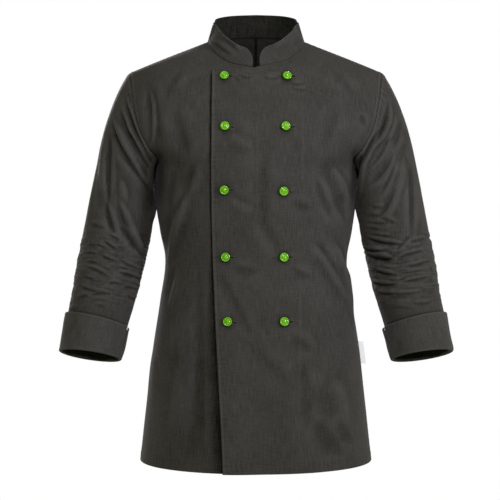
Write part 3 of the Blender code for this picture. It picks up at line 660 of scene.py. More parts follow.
def crease_height(x, z, creases):
    """Sum of creases at places (x, z) in millimetres: bent lines through a start, a middle and an end.

    The line is the parabola through the three points, taken as 16 straight pieces, and d is the distance
    from it, positive to the right of a line that runs down or above one that runs right. The height is
    depth * (bell(d) - roll * bell(d - 1.7 width)) * taper. Towards the roll the bell is steeper, so the
    cloth tips over into the crease; a negative roll lies on the other side.
    """
    total = np.zeros_like(x)
    x, z = x * 1000, z * 1000
    t = np.linspace(0, 1, CREASE_PIECES + 1)[:, None]
    for x0, z0, x1, z1, x2, z2, depth, width, roll in creases:
        start, middle, end = np.array([x0, z0]), np.array([x1, z1]), np.array([x2, z2])
        corner = 2 * middle - (start + end) / 2
        line = (1 - t) ** 2 * start + 2 * t * (1 - t) * corner + t**2 * end
        low, high = line.min(axis=0) - CREASE_REACH * width, line.max(axis=0) + CREASE_REACH * width
        near = np.nonzero((x > low[0]) & (x < high[0]) & (z > low[1]) & (z < high[1]))
        if not len(near[0]):
            continue
        place = np.stack([x[near], z[near]], axis=-1)[:, None]
        step = line[1:] - line[:-1]
        length = np.linalg.norm(step, axis=-1)
        offset = place - line[:-1]
        share = np.clip(np.sum(offset * step, axis=-1) / length**2, 0, 1)
        apart = offset - share[..., None] * step
        distance = np.linalg.norm(apart, axis=-1)
        best = np.argmin(distance, axis=1)
        pick = np.arange(len(best)), best
        along = (best + share[pick]) / len(step)
        side = np.sign(step[best, 0] * offset[pick][:, 1] - step[best, 1] * offset[pick][:, 0])
        aside = distance[pick] * side * (1 if roll >= 0 else -1)
        taper = ease(along, 0, CREASE_TAPER) * ease(1 - along, 0, CREASE_TAPER)
        narrow = width * (0.55 + 0.45 * taper)
        steep = np.where(aside > 0, 1 - 0.4 * abs(roll), 1 + 0.7 * abs(roll))
        profile = bell(aside, narrow * steep) - 0.8 * abs(roll) * bell(aside - ROLL_AT * narrow, 1.1 * narrow)
        total[near] += depth / 1000 * profile * taper
    return total


# %% Where the folds of the fronts and the back lie
# Largest folds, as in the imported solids: x start, z start, x end, z end, depth, width, in metres.
FRONT_FOLDS = (
    (-0.190, -0.080, -0.168, -0.205, -0.0060, 0.012),
    (-0.172, -0.300, -0.120, -0.150, -0.0050, 0.024),
    (-0.150, -0.420, -0.135, -0.700, 0.0045, 0.022),
    (-0.118, -0.520, -0.112, -0.745, -0.0050, 0.022),
    (0.118, -0.215, 0.150, -0.310, -0.0045, 0.016),
    (0.120, -0.350, 0.172, -0.490, 0.0045, 0.014),
    (0.105, -0.600, 0.135, -0.735, -0.0050, 0.026),
)
BACK_FOLDS = (
    (-0.150, -0.210, -0.095, -0.380, -0.0050, 0.020),
    (0.150, -0.205, 0.100, -0.390, -0.0050, 0.020),
    (-0.070, -0.480, -0.085, -0.740, -0.0060, 0.030),
    (0.078, -0.470, 0.095, -0.740, -0.0060, 0.030),
)
# Smaller creases, in millimetres: x, z at the start, middle and end, depth, width and roll.
FRONT_CREASES = (
    (129, -226, 150, -257, 164, -298, 3, 5, 0.2),
    (102, -246, 117, -284, 135, -326, -3.8, 6.5, 0.5),
    (154, -267, 152, -297, 155, -333, -3, 6, 0.5),
    (133, -361, 154, -406, 171, -482, 4.9, 6, 0.3),
    (95, -357, 126, -409, 159, -466, 3.8, 5.5, 0.2),
    (147, -367, 155, -395, 162, -426, -3.2, 4, 0.4),
    (-115, -271, -139, -333, -156, -406, 4.9, 7, -0.5),
    (-139, -395, -149, -435, -153, -478, -3.4, 6, 0.4),
    (-192, -87, -186, -139, -186, -198, -7, 4, 0.9),
    (-68, -399, -40, -461, 10, -551, -2.2, 11, 0.5),
    (-45, -513, 10, -558, 81, -630, -1.5, 13, 0.5),
    (-99, -395, -97, -565, -89, -752, -3.2, 12, 0),
    (-89, -482, -87, -617, -83, -741, 0.7, 2.4, 0),
    (78, -108, 79, -201, 78, -298, 0.7, 2.2, 0),
    (76, -350, 74, -530, 72, -703, 0.7, 2.2, 0),
    (-144, -226, -154, -309, -161, -367, -3.8, 9, 0.4),
    (150, -383, 159, -444, 181, -530, 3.2, 4.5, 0.2),
    (88, -357, 103, -381, 121, -395, 1.6, 7, 0.3),
    (-146, -485, -144, -527, -144, -568, 0.7, 2.2, 0),
    (138, -658, 154, -689, 166, -717, -2.2, 10, 0.3),
    (-184, -551, -180, -599, -184, -648, 2.2, 7, 0.2),
    (90, -655, 124, -700, 154, -741, -4.1, 16, 0.3),
    (128, -585, 147, -634, 159, -703, 3.2, 13, 0.3),
    (69, -551, 86, -620, 81, -703, -2.4, 14, 0.3),
    (-135, -513, -146, -599, -156, -703, -3, 12, 0.3),
    (-104, -513, -115, -617, -122, -729, 2.7, 13, 0.3),
    (-135, -111, -132, -167, -111, -222, -2.4, 12, 0.5),
    (141, -111, 128, -163, 107, -201, -2.2, 12, 0.3),
    (180, -136, 186, -146, 190, -162, -2.4, 5, 0.4),
    (-35, -115, -11, -201, -18, -297, 1.6, 16, 0.3),
    (20, -201, 10, -288, 20, -374, -1.8, 15, 0.3),
    (-11, -314, 10, -357, 34, -395, 1.9, 11, 0.3),
    (-122, -56, -146, -84, -167, -122, -2, 9, 0.3),
    (128, -56, 154, -84, 173, -118, -2, 9, 0.3),
    (-102, -219, -115, -250, -122, -288, -2.2, 8, 0.5),
    (-49, -281, -28, -298, 0, -309, 1.5, 7, 0.3),
    (-49, -174, -28, -188, 0, -201, 1.4, 8, 0.3),
    (58, -284, 76, -298, 96, -305, -1.4, 8, 0.4),
    (-42, -399, -18, -409, 10, -412, -1.4, 7, 0.4),
    (58, -402, 76, -416, 100, -423, -1.6, 7, 0.5),
    (58, -513, 76, -534, 100, -551, -1.9, 9, 0.5),
    (-28, -63, -9, -66, 12, -64, 1.5, 2, 0),
    (8, -71, 24, -78, 44, -74, -1.9, 2.6, 0.6),
    (-34, -68, -22, -75, -4, -76, -1.6, 2.6, 0.6),
    (12, -64, 30, -69, 52, -66, 1.3, 2.4, 0),
    (57, -84, 69, -88, 86, -85, -1.7, 2.6, 0.6),
    (60, -94, 74, -98, 90, -97, -1.3, 2.6, 0.6),
    (-42, -70, -34, -78, -24, -82, -1.4, 2.8, 0.5),
)

# %% Where the creases of the sleeves lie
# In front, with the same columns as FRONT_CREASES.
RIGHT_SLEEVE_CREASES = (
    (-233, -93, -217, -153, -183, -216, -7.5, 3.4, 0.9),
    (-241, -116, -224, -170, -180, -241, -8.1, 4.2, 0.8),
    (-254, -137, -240, -191, -182, -276, -7.5, 5, 0.8),
    (-261, -160, -263, -227, -259, -300, -7.2, 5.6, -0.5),
    (-254, -170, -254, -237, -256, -293, 2.1, 4, 0),
    (-173, -209, -176, -244, -180, -279, -9, 6.5, -0.4),
    (-178, -276, -180, -304, -182, -332, 5.4, 7, 0),
    (-263, -286, -257, -322, -245, -348, -6.6, 3.8, 0.8),
    (-243, -286, -229, -332, -194, -396, -5.4, 5, 0.8),
    (-241, -329, -224, -352, -197, -394, -5.1, 4.2, 0.9),
    (-261, -344, -248, -353, -236, -357, -3, 2.4, 0.8),
    (-268, -355, -256, -367, -240, -374, -3, 2.4, 0.9),
    (-284, -360, -270, -369, -252, -376, -2.2, 2.4, 0.7),
    (-305, -381, -291, -380, -275, -383, -2.2, 2.6, 0.6),
    (-275, -381, -259, -390, -238, -396, -2.8, 2.6, 0.8),
    (-241, -390, -222, -403, -201, -411, -2.7, 2.8, 0.6),
    (-300, -404, -278, -411, -252, -425, -3.3, 2.8, 0.9),
    (-247, -413, -226, -418, -203, -429, -3.6, 2.8, 0.9),
    (-312, -434, -289, -445, -264, -447, -3, 2.8, 0.8),
    (-291, -454, -271, -450, -250, -452, -2.5, 2.5, 0.8),
    (-261, -432, -248, -432, -236, -436, -2.1, 2.4, 0.7),
    (-314, -461, -303, -455, -292, -454, -1.8, 2.6, 0.6),
    (-328, -480, -319, -477, -308, -475, -2.1, 2.4, 0.7),
    (-285, -471, -273, -471, -261, -475, -1.8, 2.5, 0.7),
    (-229, -454, -222, -459, -213, -466, -2.1, 2.8, 0.5),
    (-303, -396, -289, -396, -273, -399, -1.7, 2.4, 0.6),
    (-247, -403, -233, -406, -220, -411, -1.7, 2.2, 0.6),
    (-307, -420, -292, -424, -278, -431, -1.7, 2.6, 0.6),
    (-278, -403, -264, -406, -252, -410, -1.7, 2.2, 0.6),
    (-236, -438, -224, -441, -210, -445, -1.8, 2.6, 0.6),
    (-300, -367, -289, -366, -277, -369, -1.5, 2.8, 0.5),
    (-296, -325, -280, -332, -264, -336, -1.8, 4, 0.5),
    (-240, -244, -233, -269, -226, -292, 3, 6, 0.3),
    (-236, -142, -226, -160, -212, -179, 3, 3.5, 0.2),
)
LEFT_SLEEVE_CREASES = (
    (234, -105, 225, -158, 195, -200, -6.3, 3.4, 0.9),
    (222, -158, 197, -197, 176, -248, -6.6, 3.6, 0.9),
    (190, -190, 178, -248, 179, -311, -6.9, 5, 0.6),
    (237, -160, 222, -202, 193, -237, -1.8, 3, 0.6),
    (252, -198, 236, -244, 215, -286, -1.8, 3.5, 0.5),
    (200, -295, 215, -299, 232, -297, -1.5, 2.4, 0.6),
    (193, -322, 211, -327, 239, -325, -1.7, 2.4, 0.7),
    (192, -307, 208, -313, 229, -311, -1.5, 2.4, 0.7),
    (190, -371, 211, -376, 236, -371, -3.6, 3.4, 0.8),
    (274, -350, 260, -360, 246, -378, -2.4, 3, 0.6),
    (288, -343, 306, -350, 317, -357, -1.5, 2.6, 0.5),
    (257, -131, 252, -170, 239, -202, -2.1, 5.5, 0.5),
    (246, -128, 241, -160, 225, -188, 3, 4, 0.2),
    (243, -198, 225, -234, 193, -265, -3.6, 6, 0.6),
    (273, -216, 277, -286, 271, -357, -6, 6, 0.15),
    (246, -262, 229, -297, 204, -325, -3.3, 6, 0.6),
    (215, -315, 232, -322, 252, -329, -2.1, 2.8, 0.7),
    (193, -332, 206, -336, 222, -337, -2.1, 2.6, 0.7),
    (200, -344, 222, -350, 243, -350, -2.4, 2.6, 0.7),
    (193, -350, 225, -362, 267, -364, -5.1, 3.4, 0.9),
    (266, -359, 285, -357, 308, -350, -2.2, 3, 0.7),
    (193, -380, 220, -390, 243, -387, -7.8, 4.6, 0.9),
    (243, -390, 271, -381, 301, -374, -3.6, 2.8, 0.9),
    (250, -404, 280, -401, 311, -390, -3, 2.8, 0.8),
    (208, -408, 225, -415, 250, -418, -4.5, 3, 0.9),
    (204, -429, 225, -436, 250, -432, -4.8, 3.2, 0.9),
    (250, -431, 276, -427, 306, -420, -2.7, 2.6, 0.8),
    (208, -447, 246, -452, 297, -445, -3.3, 2.8, 0.9),
    (225, -461, 246, -457, 271, -457, -2.1, 2.6, 0.7),
    (260, -374, 278, -369, 296, -364, -1.8, 2.6, 0.6),
    (253, -415, 274, -413, 296, -408, -1.8, 2.4, 0.6),
    (218, -397, 236, -403, 257, -399, 3, 2.6, 0),
    (225, -424, 246, -424, 267, -418, 2.4, 2.4, 0),
    (271, -466, 288, -468, 310, -464, -1.8, 2.8, 0.6),
    (239, -477, 257, -475, 278, -477, -1.5, 2.8, 0.6),
    (197, -366, 215, -373, 236, -374, 2.7, 2.6, 0),
    (299, -396, 310, -410, 320, -427, -1.8, 5, 0.4),
    (260, -198, 257, -244, 246, -290, 2.7, 7, 0.3),
    (178, -279, 179, -307, 181, -336, 5.4, 7, 0),
    (225, -286, 218, -307, 208, -325, 1.8, 6, 0.3),
)

# %% Unevenness and puckers
def unevenness(x, z, seed):
    """Cloth is never quite even: two layers of soft noise, 110 mm and 45 mm across, up to 1 mm high."""
    coarse = 0.0008 * soft_noise(x + 3, z + 3, 0.085, 0.13, seed)
    return coarse + 0.0003 * soft_noise(x + 5, z + 5, 0.036, 0.05, seed + 1)


def pucker(along, away, seed, height, period=0.0085, reach=0.007):
    """Small ripples across a stitched line: a wave along it whose pace and height wander, fading away from it."""
    pace = along / period * 2 * math.pi + 2.2 * soft_noise(along, along * 0, 0.03, 1.0, seed)
    wander = 0.65 + 0.5 * soft_noise(along, along * 0, 0.022, 1.0, seed + 7)
    return height * wander * np.sin(pace) * bell(away, reach)

# %% [markdown]
# ## The two fronts
# Each front is cut in one piece from the side seam past the centre line. Its hem is turned up 16 mm and
# stitched, so that band is thicker, and the thread pulls the cloth into fine ripples. The free edge is
# turned and stitched the same way. The grid has more rows and columns where those details lie.

# %% Details at borders and seams
RIM_STEPS = (0.0003, 0.0008)  # the first steps inside a border, in metres
HEM = 0.016  # height of the turned-up hem
EDGE_STITCH = 0.006  # from the free edge to its stitched line
ARMHOLE_STITCH = 0.007  # from the armhole seam to the line stitched beside it
STITCH_GROOVE = 0.0011  # half width of the groove that a stitched line pulls into the cloth
TURNED = 0.0007  # what a turned border adds to the thickness
ARMHOLE_RIPPLE = {"period": 0.0075, "reach": 0.005}  # of the puckers between the armhole and that line


def stitched_groove(distance, depth):
    """A groove along a stitched line, that deep where the distance from the line is 0."""
    return -depth * bell(distance, STITCH_GROOVE)


def seam_relief(to_seam, along, seed):
    """A pressed seam: the cloth dips 0.8 mm into it within 2.5 mm, and ripples beside it."""
    return -0.0008 * bell(to_seam, 0.0025) + pucker(along, to_seam, seed, 0.0003)


def armhole_relief(to_armhole, row, along, seed):
    """The seam allowance lies under the body's side of the armhole: a low step, stitched down and puckered."""
    beside = ease(row, UNDERARM_ROW, UNDERARM_ROW + 0.35)
    step = 0.0005 * (1 - ease(to_armhole, ARMHOLE_STITCH, ARMHOLE_STITCH + 0.0015))
    groove = stitched_groove(to_armhole - ARMHOLE_STITCH, 0.0005)
    ripple = pucker(along, to_armhole - ARMHOLE_STITCH / 2, seed, 0.0006, **ARMHOLE_RIPPLE)
    return beside * (step + groove + ripple)


def seam_tone(to_seam):
    """Beside a seam: darker in the seam itself and paler on the thick allowance next to it."""
    return -1.3 * bell(to_seam, 0.0016) + 1.1 * bell(to_seam - 0.0042, 0.0022)


def armhole_tone(to_armhole, row, along, seed):
    """Tone beside the armhole: that of a seam, and a painted highlight on each small pucker's crest."""
    crests = 2.0 * pucker(along, to_armhole - ARMHOLE_STITCH / 2, seed, 1.0, **ARMHOLE_RIPPLE)
    return (seam_tone(to_armhole) + crests) * (row > UNDERARM_ROW)


def wall_of(hem_distance, edge_distance=None):
    """Thickness: the cloth itself, and another 0.7 mm where the hem or the free edge is turned."""
    turned = 1 - ease(hem_distance, HEM - 0.0005, HEM + 0.0012)
    if edge_distance is not None:
        turned = np.maximum(turned, 0.7 * (1 - ease(edge_distance, EDGE_STITCH - 0.0005, EDGE_STITCH + 0.0012)))
    return CLOTH + TURNED * turned


# %% Grid of a panel
COLUMN_LENGTH = 0.275  # about how long a row is from the centre to the side
ROW_HEIGHT = 0.045  # about how far apart the rows above the neck row lie
HEIGHTS = ROWS_OF[True][0][: NECK_ROW + 1, 2]
SIDES = {1: "left", -1: "right"}  # the wearer's


def row_at(z):
    """Row number at a height on the centre line."""
    return np.interp(z, HEIGHTS, np.arange(NECK_ROW + 1.0))


def rim_shares(length):
    """The first steps inside a border, as shares of a length."""
    return [step / length for step in RIM_STEPS]


def panel_rows(lower, upper):
    """Row numbers of a panel: even heights up to the neck row, then even rows up to the shoulder."""
    hem, neck = HEIGHTS[0], HEIGHTS[-1]
    z = spaced(hem, neck, lower, [(hem + HEM, 0.004, 2.0), (hem, 0.003, 2.0), (neck - 0.013, 0.018, 2.5)], RIM_STEPS)
    high = spaced(NECK_ROW, SHOULDER_ROW, upper, [(SHOULDER_ROW, 0.12, 2.0)], rim_shares(ROW_HEIGHT))
    return np.concatenate([row_at(z), high[1:]])


def panel_detail(points, row, seed, hem_seed):
    """Distances on a panel, and the relief of its side seam, shoulder seam, armhole and stitched hem."""
    from_hem, from_edge = running_length(points, 0), running_length(points, 1)
    from_side, to_shoulder = from_edge[:, -1:] - from_edge, from_hem[-1:] - from_hem
    detail = seam_relief(from_side, from_hem, seed) + seam_relief(to_shoulder, from_edge, seed + 1)
    detail += armhole_relief(from_side, row, from_hem, seed + 4)
    detail += pucker(from_edge, from_hem - HEM, hem_seed, 0.00045) + stitched_groove(from_hem - HEM, 0.0005)
    return from_hem, from_edge, from_side, detail


def dress(node, *wall, **settings):
    """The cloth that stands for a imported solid; gives the points and normals of its outer side."""
    piece, outer, normal = cloth_wall(node + "_cloth", *wall, **settings)
    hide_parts(node)
    return {"outer": outer, "normal": normal}


# %% The studs pull the cloth in
BUTTONS = [f"button_{column}_{number}" for column in ("outer", "inner") for number in range(1, 6)]


def button_place(name):
    """Front-view place of a stud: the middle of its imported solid."""
    low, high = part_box(name)
    return (low[0] + high[0]) / 2, (low[2] + high[2]) / 2


STUD_PLACES = [button_place(name) for name in BUTTONS]


def button_pull(x, z):
    """The studs pull the cloth in: a dimple 1.1 mm deep round each, and a small tuck to either side."""
    total = np.zeros_like(x)
    for at_x, at_z in STUD_PLACES:
        right, up = x - at_x, z - at_z
        total -= 0.0011 * bell(np.hypot(right, up), 0.0085)
        total += 0.0006 * bell(up - 0.25 * np.abs(right), 0.0022) * bell(np.abs(right) - 0.013, 0.006)
    return total


def painted_stud_shadow(x, z):
    """Painted shadow of each stud on the cloth under its rim: a darker ring, widest at the lower left."""
    return sum(-2.8 * bell(np.hypot(x - at_x + 0.0009, z - at_z + 0.0012), 0.0100) for at_x, at_z in STUD_PLACES)


# %% Folds of the fronts
def front_relief(x, z, across, row):
    """All folds of the fronts at signed places of the front view, calm towards the seams."""
    to_side = (1 - across) * COLUMN_LENGTH
    broad = ease(1 - across, 0, 0.16) * ease(SHOULDER_ROW - row, 0, 1.2)
    calm = ease(to_side, 0.0, 0.016) * ease((SHOULDER_ROW - row) * ROW_HEIGHT, 0, 0.014)
    calm = calm * (1 - (1 - ease(across * 0.15, 0, 0.012)) * ease(row, NECK_ROW - 0.4, NECK_ROW))
    return broad * fold_height(x, z, FRONT_FOLDS) + calm * (crease_height(x, z, FRONT_CREASES) + unevenness(x, z, 4))


def front_cloth(x, z, rise):
    """Points, normals and folds of the fronts at signed front-view places, moved out by a rise."""
    side = np.where(x < 0, -1.0, 1.0)
    mirror = np.stack([side, np.ones_like(side), np.ones_like(side)], axis=-1)
    across, row = front_place(np.abs(x), z)
    normal = body_normal(across, row, True) * mirror
    points = body_point(across, row, True) * mirror
    folds = front_relief(x, z, across, row)
    return points + normal * (rise + folds)[..., None], normal, folds


def front_panel(side):
    """Middle points of one front, its folds' heights, which points exist, and its row numbers."""
    top = side > 0
    rows = panel_rows(212, 44)
    across = spaced(0, 1, 96, [(1, 0.02, 2.0)], rim_shares(COLUMN_LENGTH))
    reach = spaced(0, 1, 36, [(1 - EDGE_STITCH / LAP, 0.03, 1.5)], rim_shares(LAP))[:0:-1]
    row, share = np.meshgrid(rows, across, indexing="ij")
    base = body_point(share, row, True)
    x, z = base[..., 0] * side, base[..., 2]
    folds = front_relief(x, z, share, row) + (button_pull(x, z) if top else 0.0)
    rise = folds + top_front_rise(x, z) if top else folds
    half = (base + body_normal(share, row, True) * rise[..., None]) * np.array([side, 1, 1])

    low = rows <= NECK_ROW
    height = through(HEIGHTS[:, None], rows[low])
    drop = (LAP_TOP - FRONT_NECK[2]) * ease(rows[low][:, None], NECK_ROW - 1, NECK_ROW)
    lap_x = -side * lap_edge(height) * reach
    lap_z = height + drop * reach
    lap = np.zeros((len(rows), len(reach), 3))
    lap_rise = top_front_rise(lap_x, lap_z) + button_pull(lap_x, lap_z) if top else 0.0
    lap[low], _, lap_relief = front_cloth(lap_x, lap_z, lap_rise)
    lap[~low] = lap[low][-1]
    lap_relief = np.concatenate([lap_relief, np.repeat(lap_relief[-1:], (~low).sum(), axis=0)])
    points = np.concatenate([lap, half], axis=1)
    relief = np.concatenate([lap_relief, folds], axis=1)
    present = np.ones(points.shape[:2], bool)
    present[~low, : len(reach)] = False
    return points, relief, present, rows[:, None]


# %% Painted shadow and highlight of the fronts
SHADOW_WIDTH = (0.0045, 0.030)  # of the painted shadow beside the top front's free edge: above the waist, in the skirt
SHADOW_TOP = (-0.071, -0.065)  # between these heights it ends


def under_shadow(x, z):
    """Painted shadow beside and under the top front's free edge, wider where the edge stands off."""
    width = blend(SHADOW_WIDTH, ease(-z, 0.34, 0.60))
    under_edge = np.where(x > -0.15, x + lap_edge(z), -1.0)
    dark = 3.4 * ease(under_edge / width, -1, 0.02) + 3.0 * ease(under_edge, -0.0032, -0.0008)
    return -dark * (1 - ease(z, *SHADOW_TOP))


def painted_edge_shadow_and_highlight(from_edge):
    """Painted shade at the free edge's very rim, and a painted highlight 3 mm inside it."""
    return 1.6 * bell(from_edge - 0.0030, 0.0014) - 3.5 * bell(from_edge, 0.0008)


# %% The fronts themselves
def build_front(side):
    """One front, with the relief of its hem, free edge and seams added along its normals."""
    points, relief, present, row = front_panel(side)
    heart = points * np.array([0.0, 0.0, 1.0]) + np.array([0.1 * side, 0.3, 0.0])
    seed = 20 if side > 0 else 30
    from_hem, from_edge, from_side, detail = panel_detail(points, row, seed, seed + 2)
    on_lap = row <= NECK_ROW
    to_stitch = from_edge - EDGE_STITCH
    detail += on_lap * (pucker(from_hem, to_stitch, seed + 3, 0.00035) + stitched_groove(to_stitch, 0.00045))
    points = relieved(points, detail, heart, present)
    ridge = ridges_of(relief + detail) + painted_armpit_shade(points, 0.008) + armhole_tone(from_side, row, from_hem, seed + 4)
    x, z = points[..., 0], points[..., 2]
    if side > 0:
        ridge += painted_stud_shadow(x, z) + on_lap * painted_edge_shadow_and_highlight(from_edge)
    else:
        ridge += under_shadow(x, z)
    thickness = wall_of(from_hem, np.where(on_lap, from_edge, 1.0))
    cloth = dress("front_" + SIDES[side], points, thickness, heart, COTTON, present, ridge=ridge)
    return cloth | {"from_hem": from_hem, "from_edge": from_edge, "from_side": from_side, "rows": row.ravel()}


FRONTS = {side: build_front(side) for side in SIDES}

# %% [markdown]
# ## The back
# The back is cut in two halves with a seam down the centre, which gives it its waist. Seen from behind it
# hangs from the shoulder blades, with soft folds into the waist and two slack pleats in the skirt.

# %% The two halves of the back
# The same columns as FRONT_CREASES; x keeps the sign it has in front.
BACK_CREASES = (
    (-168, -226, -128, -262, -96, -310, -5.1, 7.6, 0.5),
    (166, -222, 124, -258, 90, -318, -5.4, 7.6, 0.5),
    (-158, -330, -112, -372, -52, -392, -4.8, 7.6, 0.5),
    (158, -322, 104, -366, 42, -388, -4.5, 6.8, 0.5),
    (-150, -398, -92, -410, -30, -402, 3.8, 6.8, 0.4),
    (150, -402, 98, -418, 38, -412, -3.8, 6.8, 0.5),
    (-160, -452, -118, -438, -66, -436, -2.9, 6.8, 0.4),
    (-128, -462, -142, -560, -138, -662, 3.8, 11.0, 0.3),
    (126, -470, 140, -570, 146, -680, 4.2, 11.0, 0.3),
    (-28, -500, -34, -590, -30, -700, -2.9, 11.9, 0.3),
    (34, -480, 36, -580, 42, -712, -2.6, 11.9, 0.3),
    (-176, -132, -140, -158, -84, -166, -2.9, 10.2, 0.3),
    (176, -126, 136, -152, 82, -160, -2.9, 10.2, 0.3),
    (-60, -60, -72, -140, -64, -230, 2.2, 15.3, 0.2),
    (62, -64, 74, -150, 70, -240, 2.2, 15.3, 0.2),
)


def back_relief(x, z, across, row):
    """All folds of the back, calm towards its seams and the neckline."""
    broad = ease(1 - across, 0, 0.16) * ease(SHOULDER_ROW - row, 0, 1.2)
    calm = ease(1 - across, 0, 0.06) * ease((SHOULDER_ROW - row) * ROW_HEIGHT, 0, 0.014) * ease(across, 0, 0.05)
    return broad * fold_height(x, z, BACK_FOLDS) + calm * (crease_height(x, z, BACK_CREASES) + unevenness(x, z, 9))


def build_back(side):
    """One half of the back, from the centre seam to the side seam, armhole and shoulder."""
    rows = panel_rows(170, 42)
    across = spaced(0, 1, 92, [(1, 0.02, 2.0), (0, 0.015, 2.0)], rim_shares(COLUMN_LENGTH))
    row, share = np.meshgrid(rows, across, indexing="ij")
    base = body_point(share, row, False)
    relief = back_relief(base[..., 0] * side, base[..., 2], share, row)
    points = (base + body_normal(share, row, False) * relief[..., None]) * np.array([side, 1, 1])
    heart = points * np.array([0.0, 0.0, 1.0]) + np.array([0.1 * side, -0.3, 0.0])
    seed = 40 if side > 0 else 50
    from_hem, from_centre, from_side, detail = panel_detail(points, row, seed, seed + 3)
    below_neck = 1 - ease(row, NECK_ROW - 0.3, NECK_ROW + 0.1)
    detail += below_neck * seam_relief(from_centre, from_hem, seed + 2)
    points = relieved(points, detail, heart)
    ridge = ridges_of(relief + detail) + armhole_tone(from_side, row, from_hem, seed + 4)
    ridge += seam_tone(from_centre) * (row < NECK_ROW)
    inside = -1.5 - 2.2 * bell(from_centre, 0.0028)  # painted shade of the inner side: less where light falls in through the neck, most along the seam
    cloth = dress("back_" + SIDES[side], points, wall_of(from_hem), heart, COTTON, ridge=ridge, inside=inside)
    return cloth | {"from_hem": from_hem, "from_side": from_side, "rows": rows}


BACKS = {side: build_back(side) for side in SIDES}

# %% [markdown]
# ## Set-in sleeves
# A set-in sleeve is a tube whose top, the cap, is curved to fit the armhole. It leaves the shoulder
# sideways, drops, and then runs down the arm, which is a little bent at the elbow. The tube is a stack of
# rings: the first is the armhole itself, and Hermite curves carry every point of it to the first straight
# ring. The rings below follow a table of centres, widths and tilts.

# %% Rings of a sleeve
SLEEVE_ROWS = (
    # x, y, z, across, deep, outer_up, front_up
    (0.2400, -0.002, -0.2900, 0.0585, 0.0560, 12.0, 2.0),
    (0.2480, -0.004, -0.3370, 0.0590, 0.0570, 11.0, 4.0),
    (0.2560, -0.007, -0.3780, 0.0590, 0.0580, 11.0, 7.0),
    (0.2645, -0.014, -0.4200, 0.0580, 0.0575, 12.0, 10.0),
    (0.2730, -0.023, -0.4620, 0.0550, 0.0550, 13.0, 12.5),
    (0.2818, -0.0325, -0.5010, 0.0530, 0.0535, 13.0, 13.5),
    (0.2934, -0.0462, -0.5605, 0.0520, 0.0525, 7.5, 13.5),
)
CAP_PULL = ((0.022, 0.0, -0.050), (0.130, 0.0, -0.190))  # how the cap leaves the underarm, the shoulder
CAP_FRONT_PULL = 0.004
CAP_ARRIVES = (0.075, 0.220)  # how strongly it runs into the arm, under it and on top
CAP_BUNCHING = 1.25  # brings its rings closer together near the armhole
CAP_GAP = 0.0007  # the sleeve starts this far out of the armhole, where both edges turn in
SLEEVE_CALM_Z = (-0.490, -0.460)  # under the cuff, below these heights, there are no wrinkles
SLEEVE_ANGLES = 144
ALLOWANCE = 0.0035  # how far the seam allowance turns in behind the armhole seam
RIGHT_SLEEVE_FOLDS = (
    # angle start, z start, angle end, z end, depth, width
    (120, -0.110, 45, -0.235, -0.0075, 0.012),
    (150, -0.150, 70, -0.290, -0.0065, 0.014),
    (165, -0.200, 140, -0.330, -0.0055, 0.012),
    (125, -0.290, 55, -0.395, -0.0060, 0.013),
    (150, -0.395, 45, -0.425, 0.0045, 0.010),
    (160, -0.440, 60, -0.448, 0.0040, 0.010),
    (330, -0.300, 220, -0.390, -0.0060, 0.016),
    (335, -0.400, 230, -0.430, -0.0055, 0.014),
)
LEFT_SLEEVE_FOLDS = (
    (125, -0.105, 50, -0.225, -0.0070, 0.012),
    (155, -0.150, 110, -0.230, -0.0060, 0.013),
    (140, -0.215, 125, -0.370, -0.0050, 0.013),
    (30, -0.385, 100, -0.393, -0.0075, 0.011),
    (25, -0.430, 120, -0.424, -0.0060, 0.010),
    (60, -0.408, 160, -0.402, 0.0040, 0.010),
    (330, -0.290, 225, -0.400, -0.0060, 0.016),
    (325, -0.410, 215, -0.435, -0.0055, 0.014),
)


def armhole(angles):
    """The armhole of the side +1, by angle: underarm 0, front 90, shoulder point 180, back 270."""
    front_half = angles <= 180
    share = np.where(front_half, angles, 360 - angles) / 180
    row = blend((UNDERARM_ROW, SHOULDER_ROW), share)
    edge = np.ones_like(row)
    return np.where(front_half[:, None], body_point(edge, row, True), body_point(edge, row, False))


def sleeve_rings(at, angles, out=0.0):
    """Tilted ellipses at rows of SLEEVE_ROWS (one per ring), moved out by a distance (one per ring).

    A point is centre - cos(angle) * outwards * across + sin(angle) * forwards * deep.
    """
    values = through(SLEEVE_ROWS, at)[:, None]
    outer_up, front_up = np.radians(values[..., 5]), np.radians(values[..., 6])
    zero = np.zeros_like(outer_up)
    outwards = np.stack([np.cos(outer_up), zero, np.sin(outer_up)], axis=-1)
    forwards = np.stack([zero, -np.cos(front_up), np.sin(front_up)], axis=-1)
    turn, out = np.radians(angles)[..., None], np.broadcast_to(out, np.shape(at))[:, None, None]
    across, deep = values[..., 3:4] + out, values[..., 4:5] + out
    return values[..., :3] - np.cos(turn) * outwards * across + np.sin(turn) * forwards * deep


def sleeve_surface(angles, cap_steps, at):
    """All rings of the sleeve on the side +1: the cap by Hermite curves, then the table's rings."""
    over = ((1 - np.cos(np.radians(angles))) / 2)[:, None]
    start = armhole(angles) + (CAP_GAP, 0.0, 0.0)
    end = sleeve_rings(np.zeros(1), angles)[0]
    axis = unit(np.array(SLEEVE_ROWS[1][:3]) - np.array(SLEEVE_ROWS[0][:3]))
    leave = blend(np.array(CAP_PULL), over)
    leave[:, 1] -= CAP_FRONT_PULL * np.sin(np.radians(angles))
    arrive = axis * blend(CAP_ARRIVES, over)
    t = (cap_steps**CAP_BUNCHING)[:, None, None]
    cap = (
        (2 * t**3 - 3 * t**2 + 1) * start
        + (t**3 - 2 * t**2 + t) * leave
        + (3 * t**2 - 2 * t**3) * end
        + (t**3 - t**2) * arrive
    )
    return np.concatenate([cap, sleeve_rings(at, angles)])

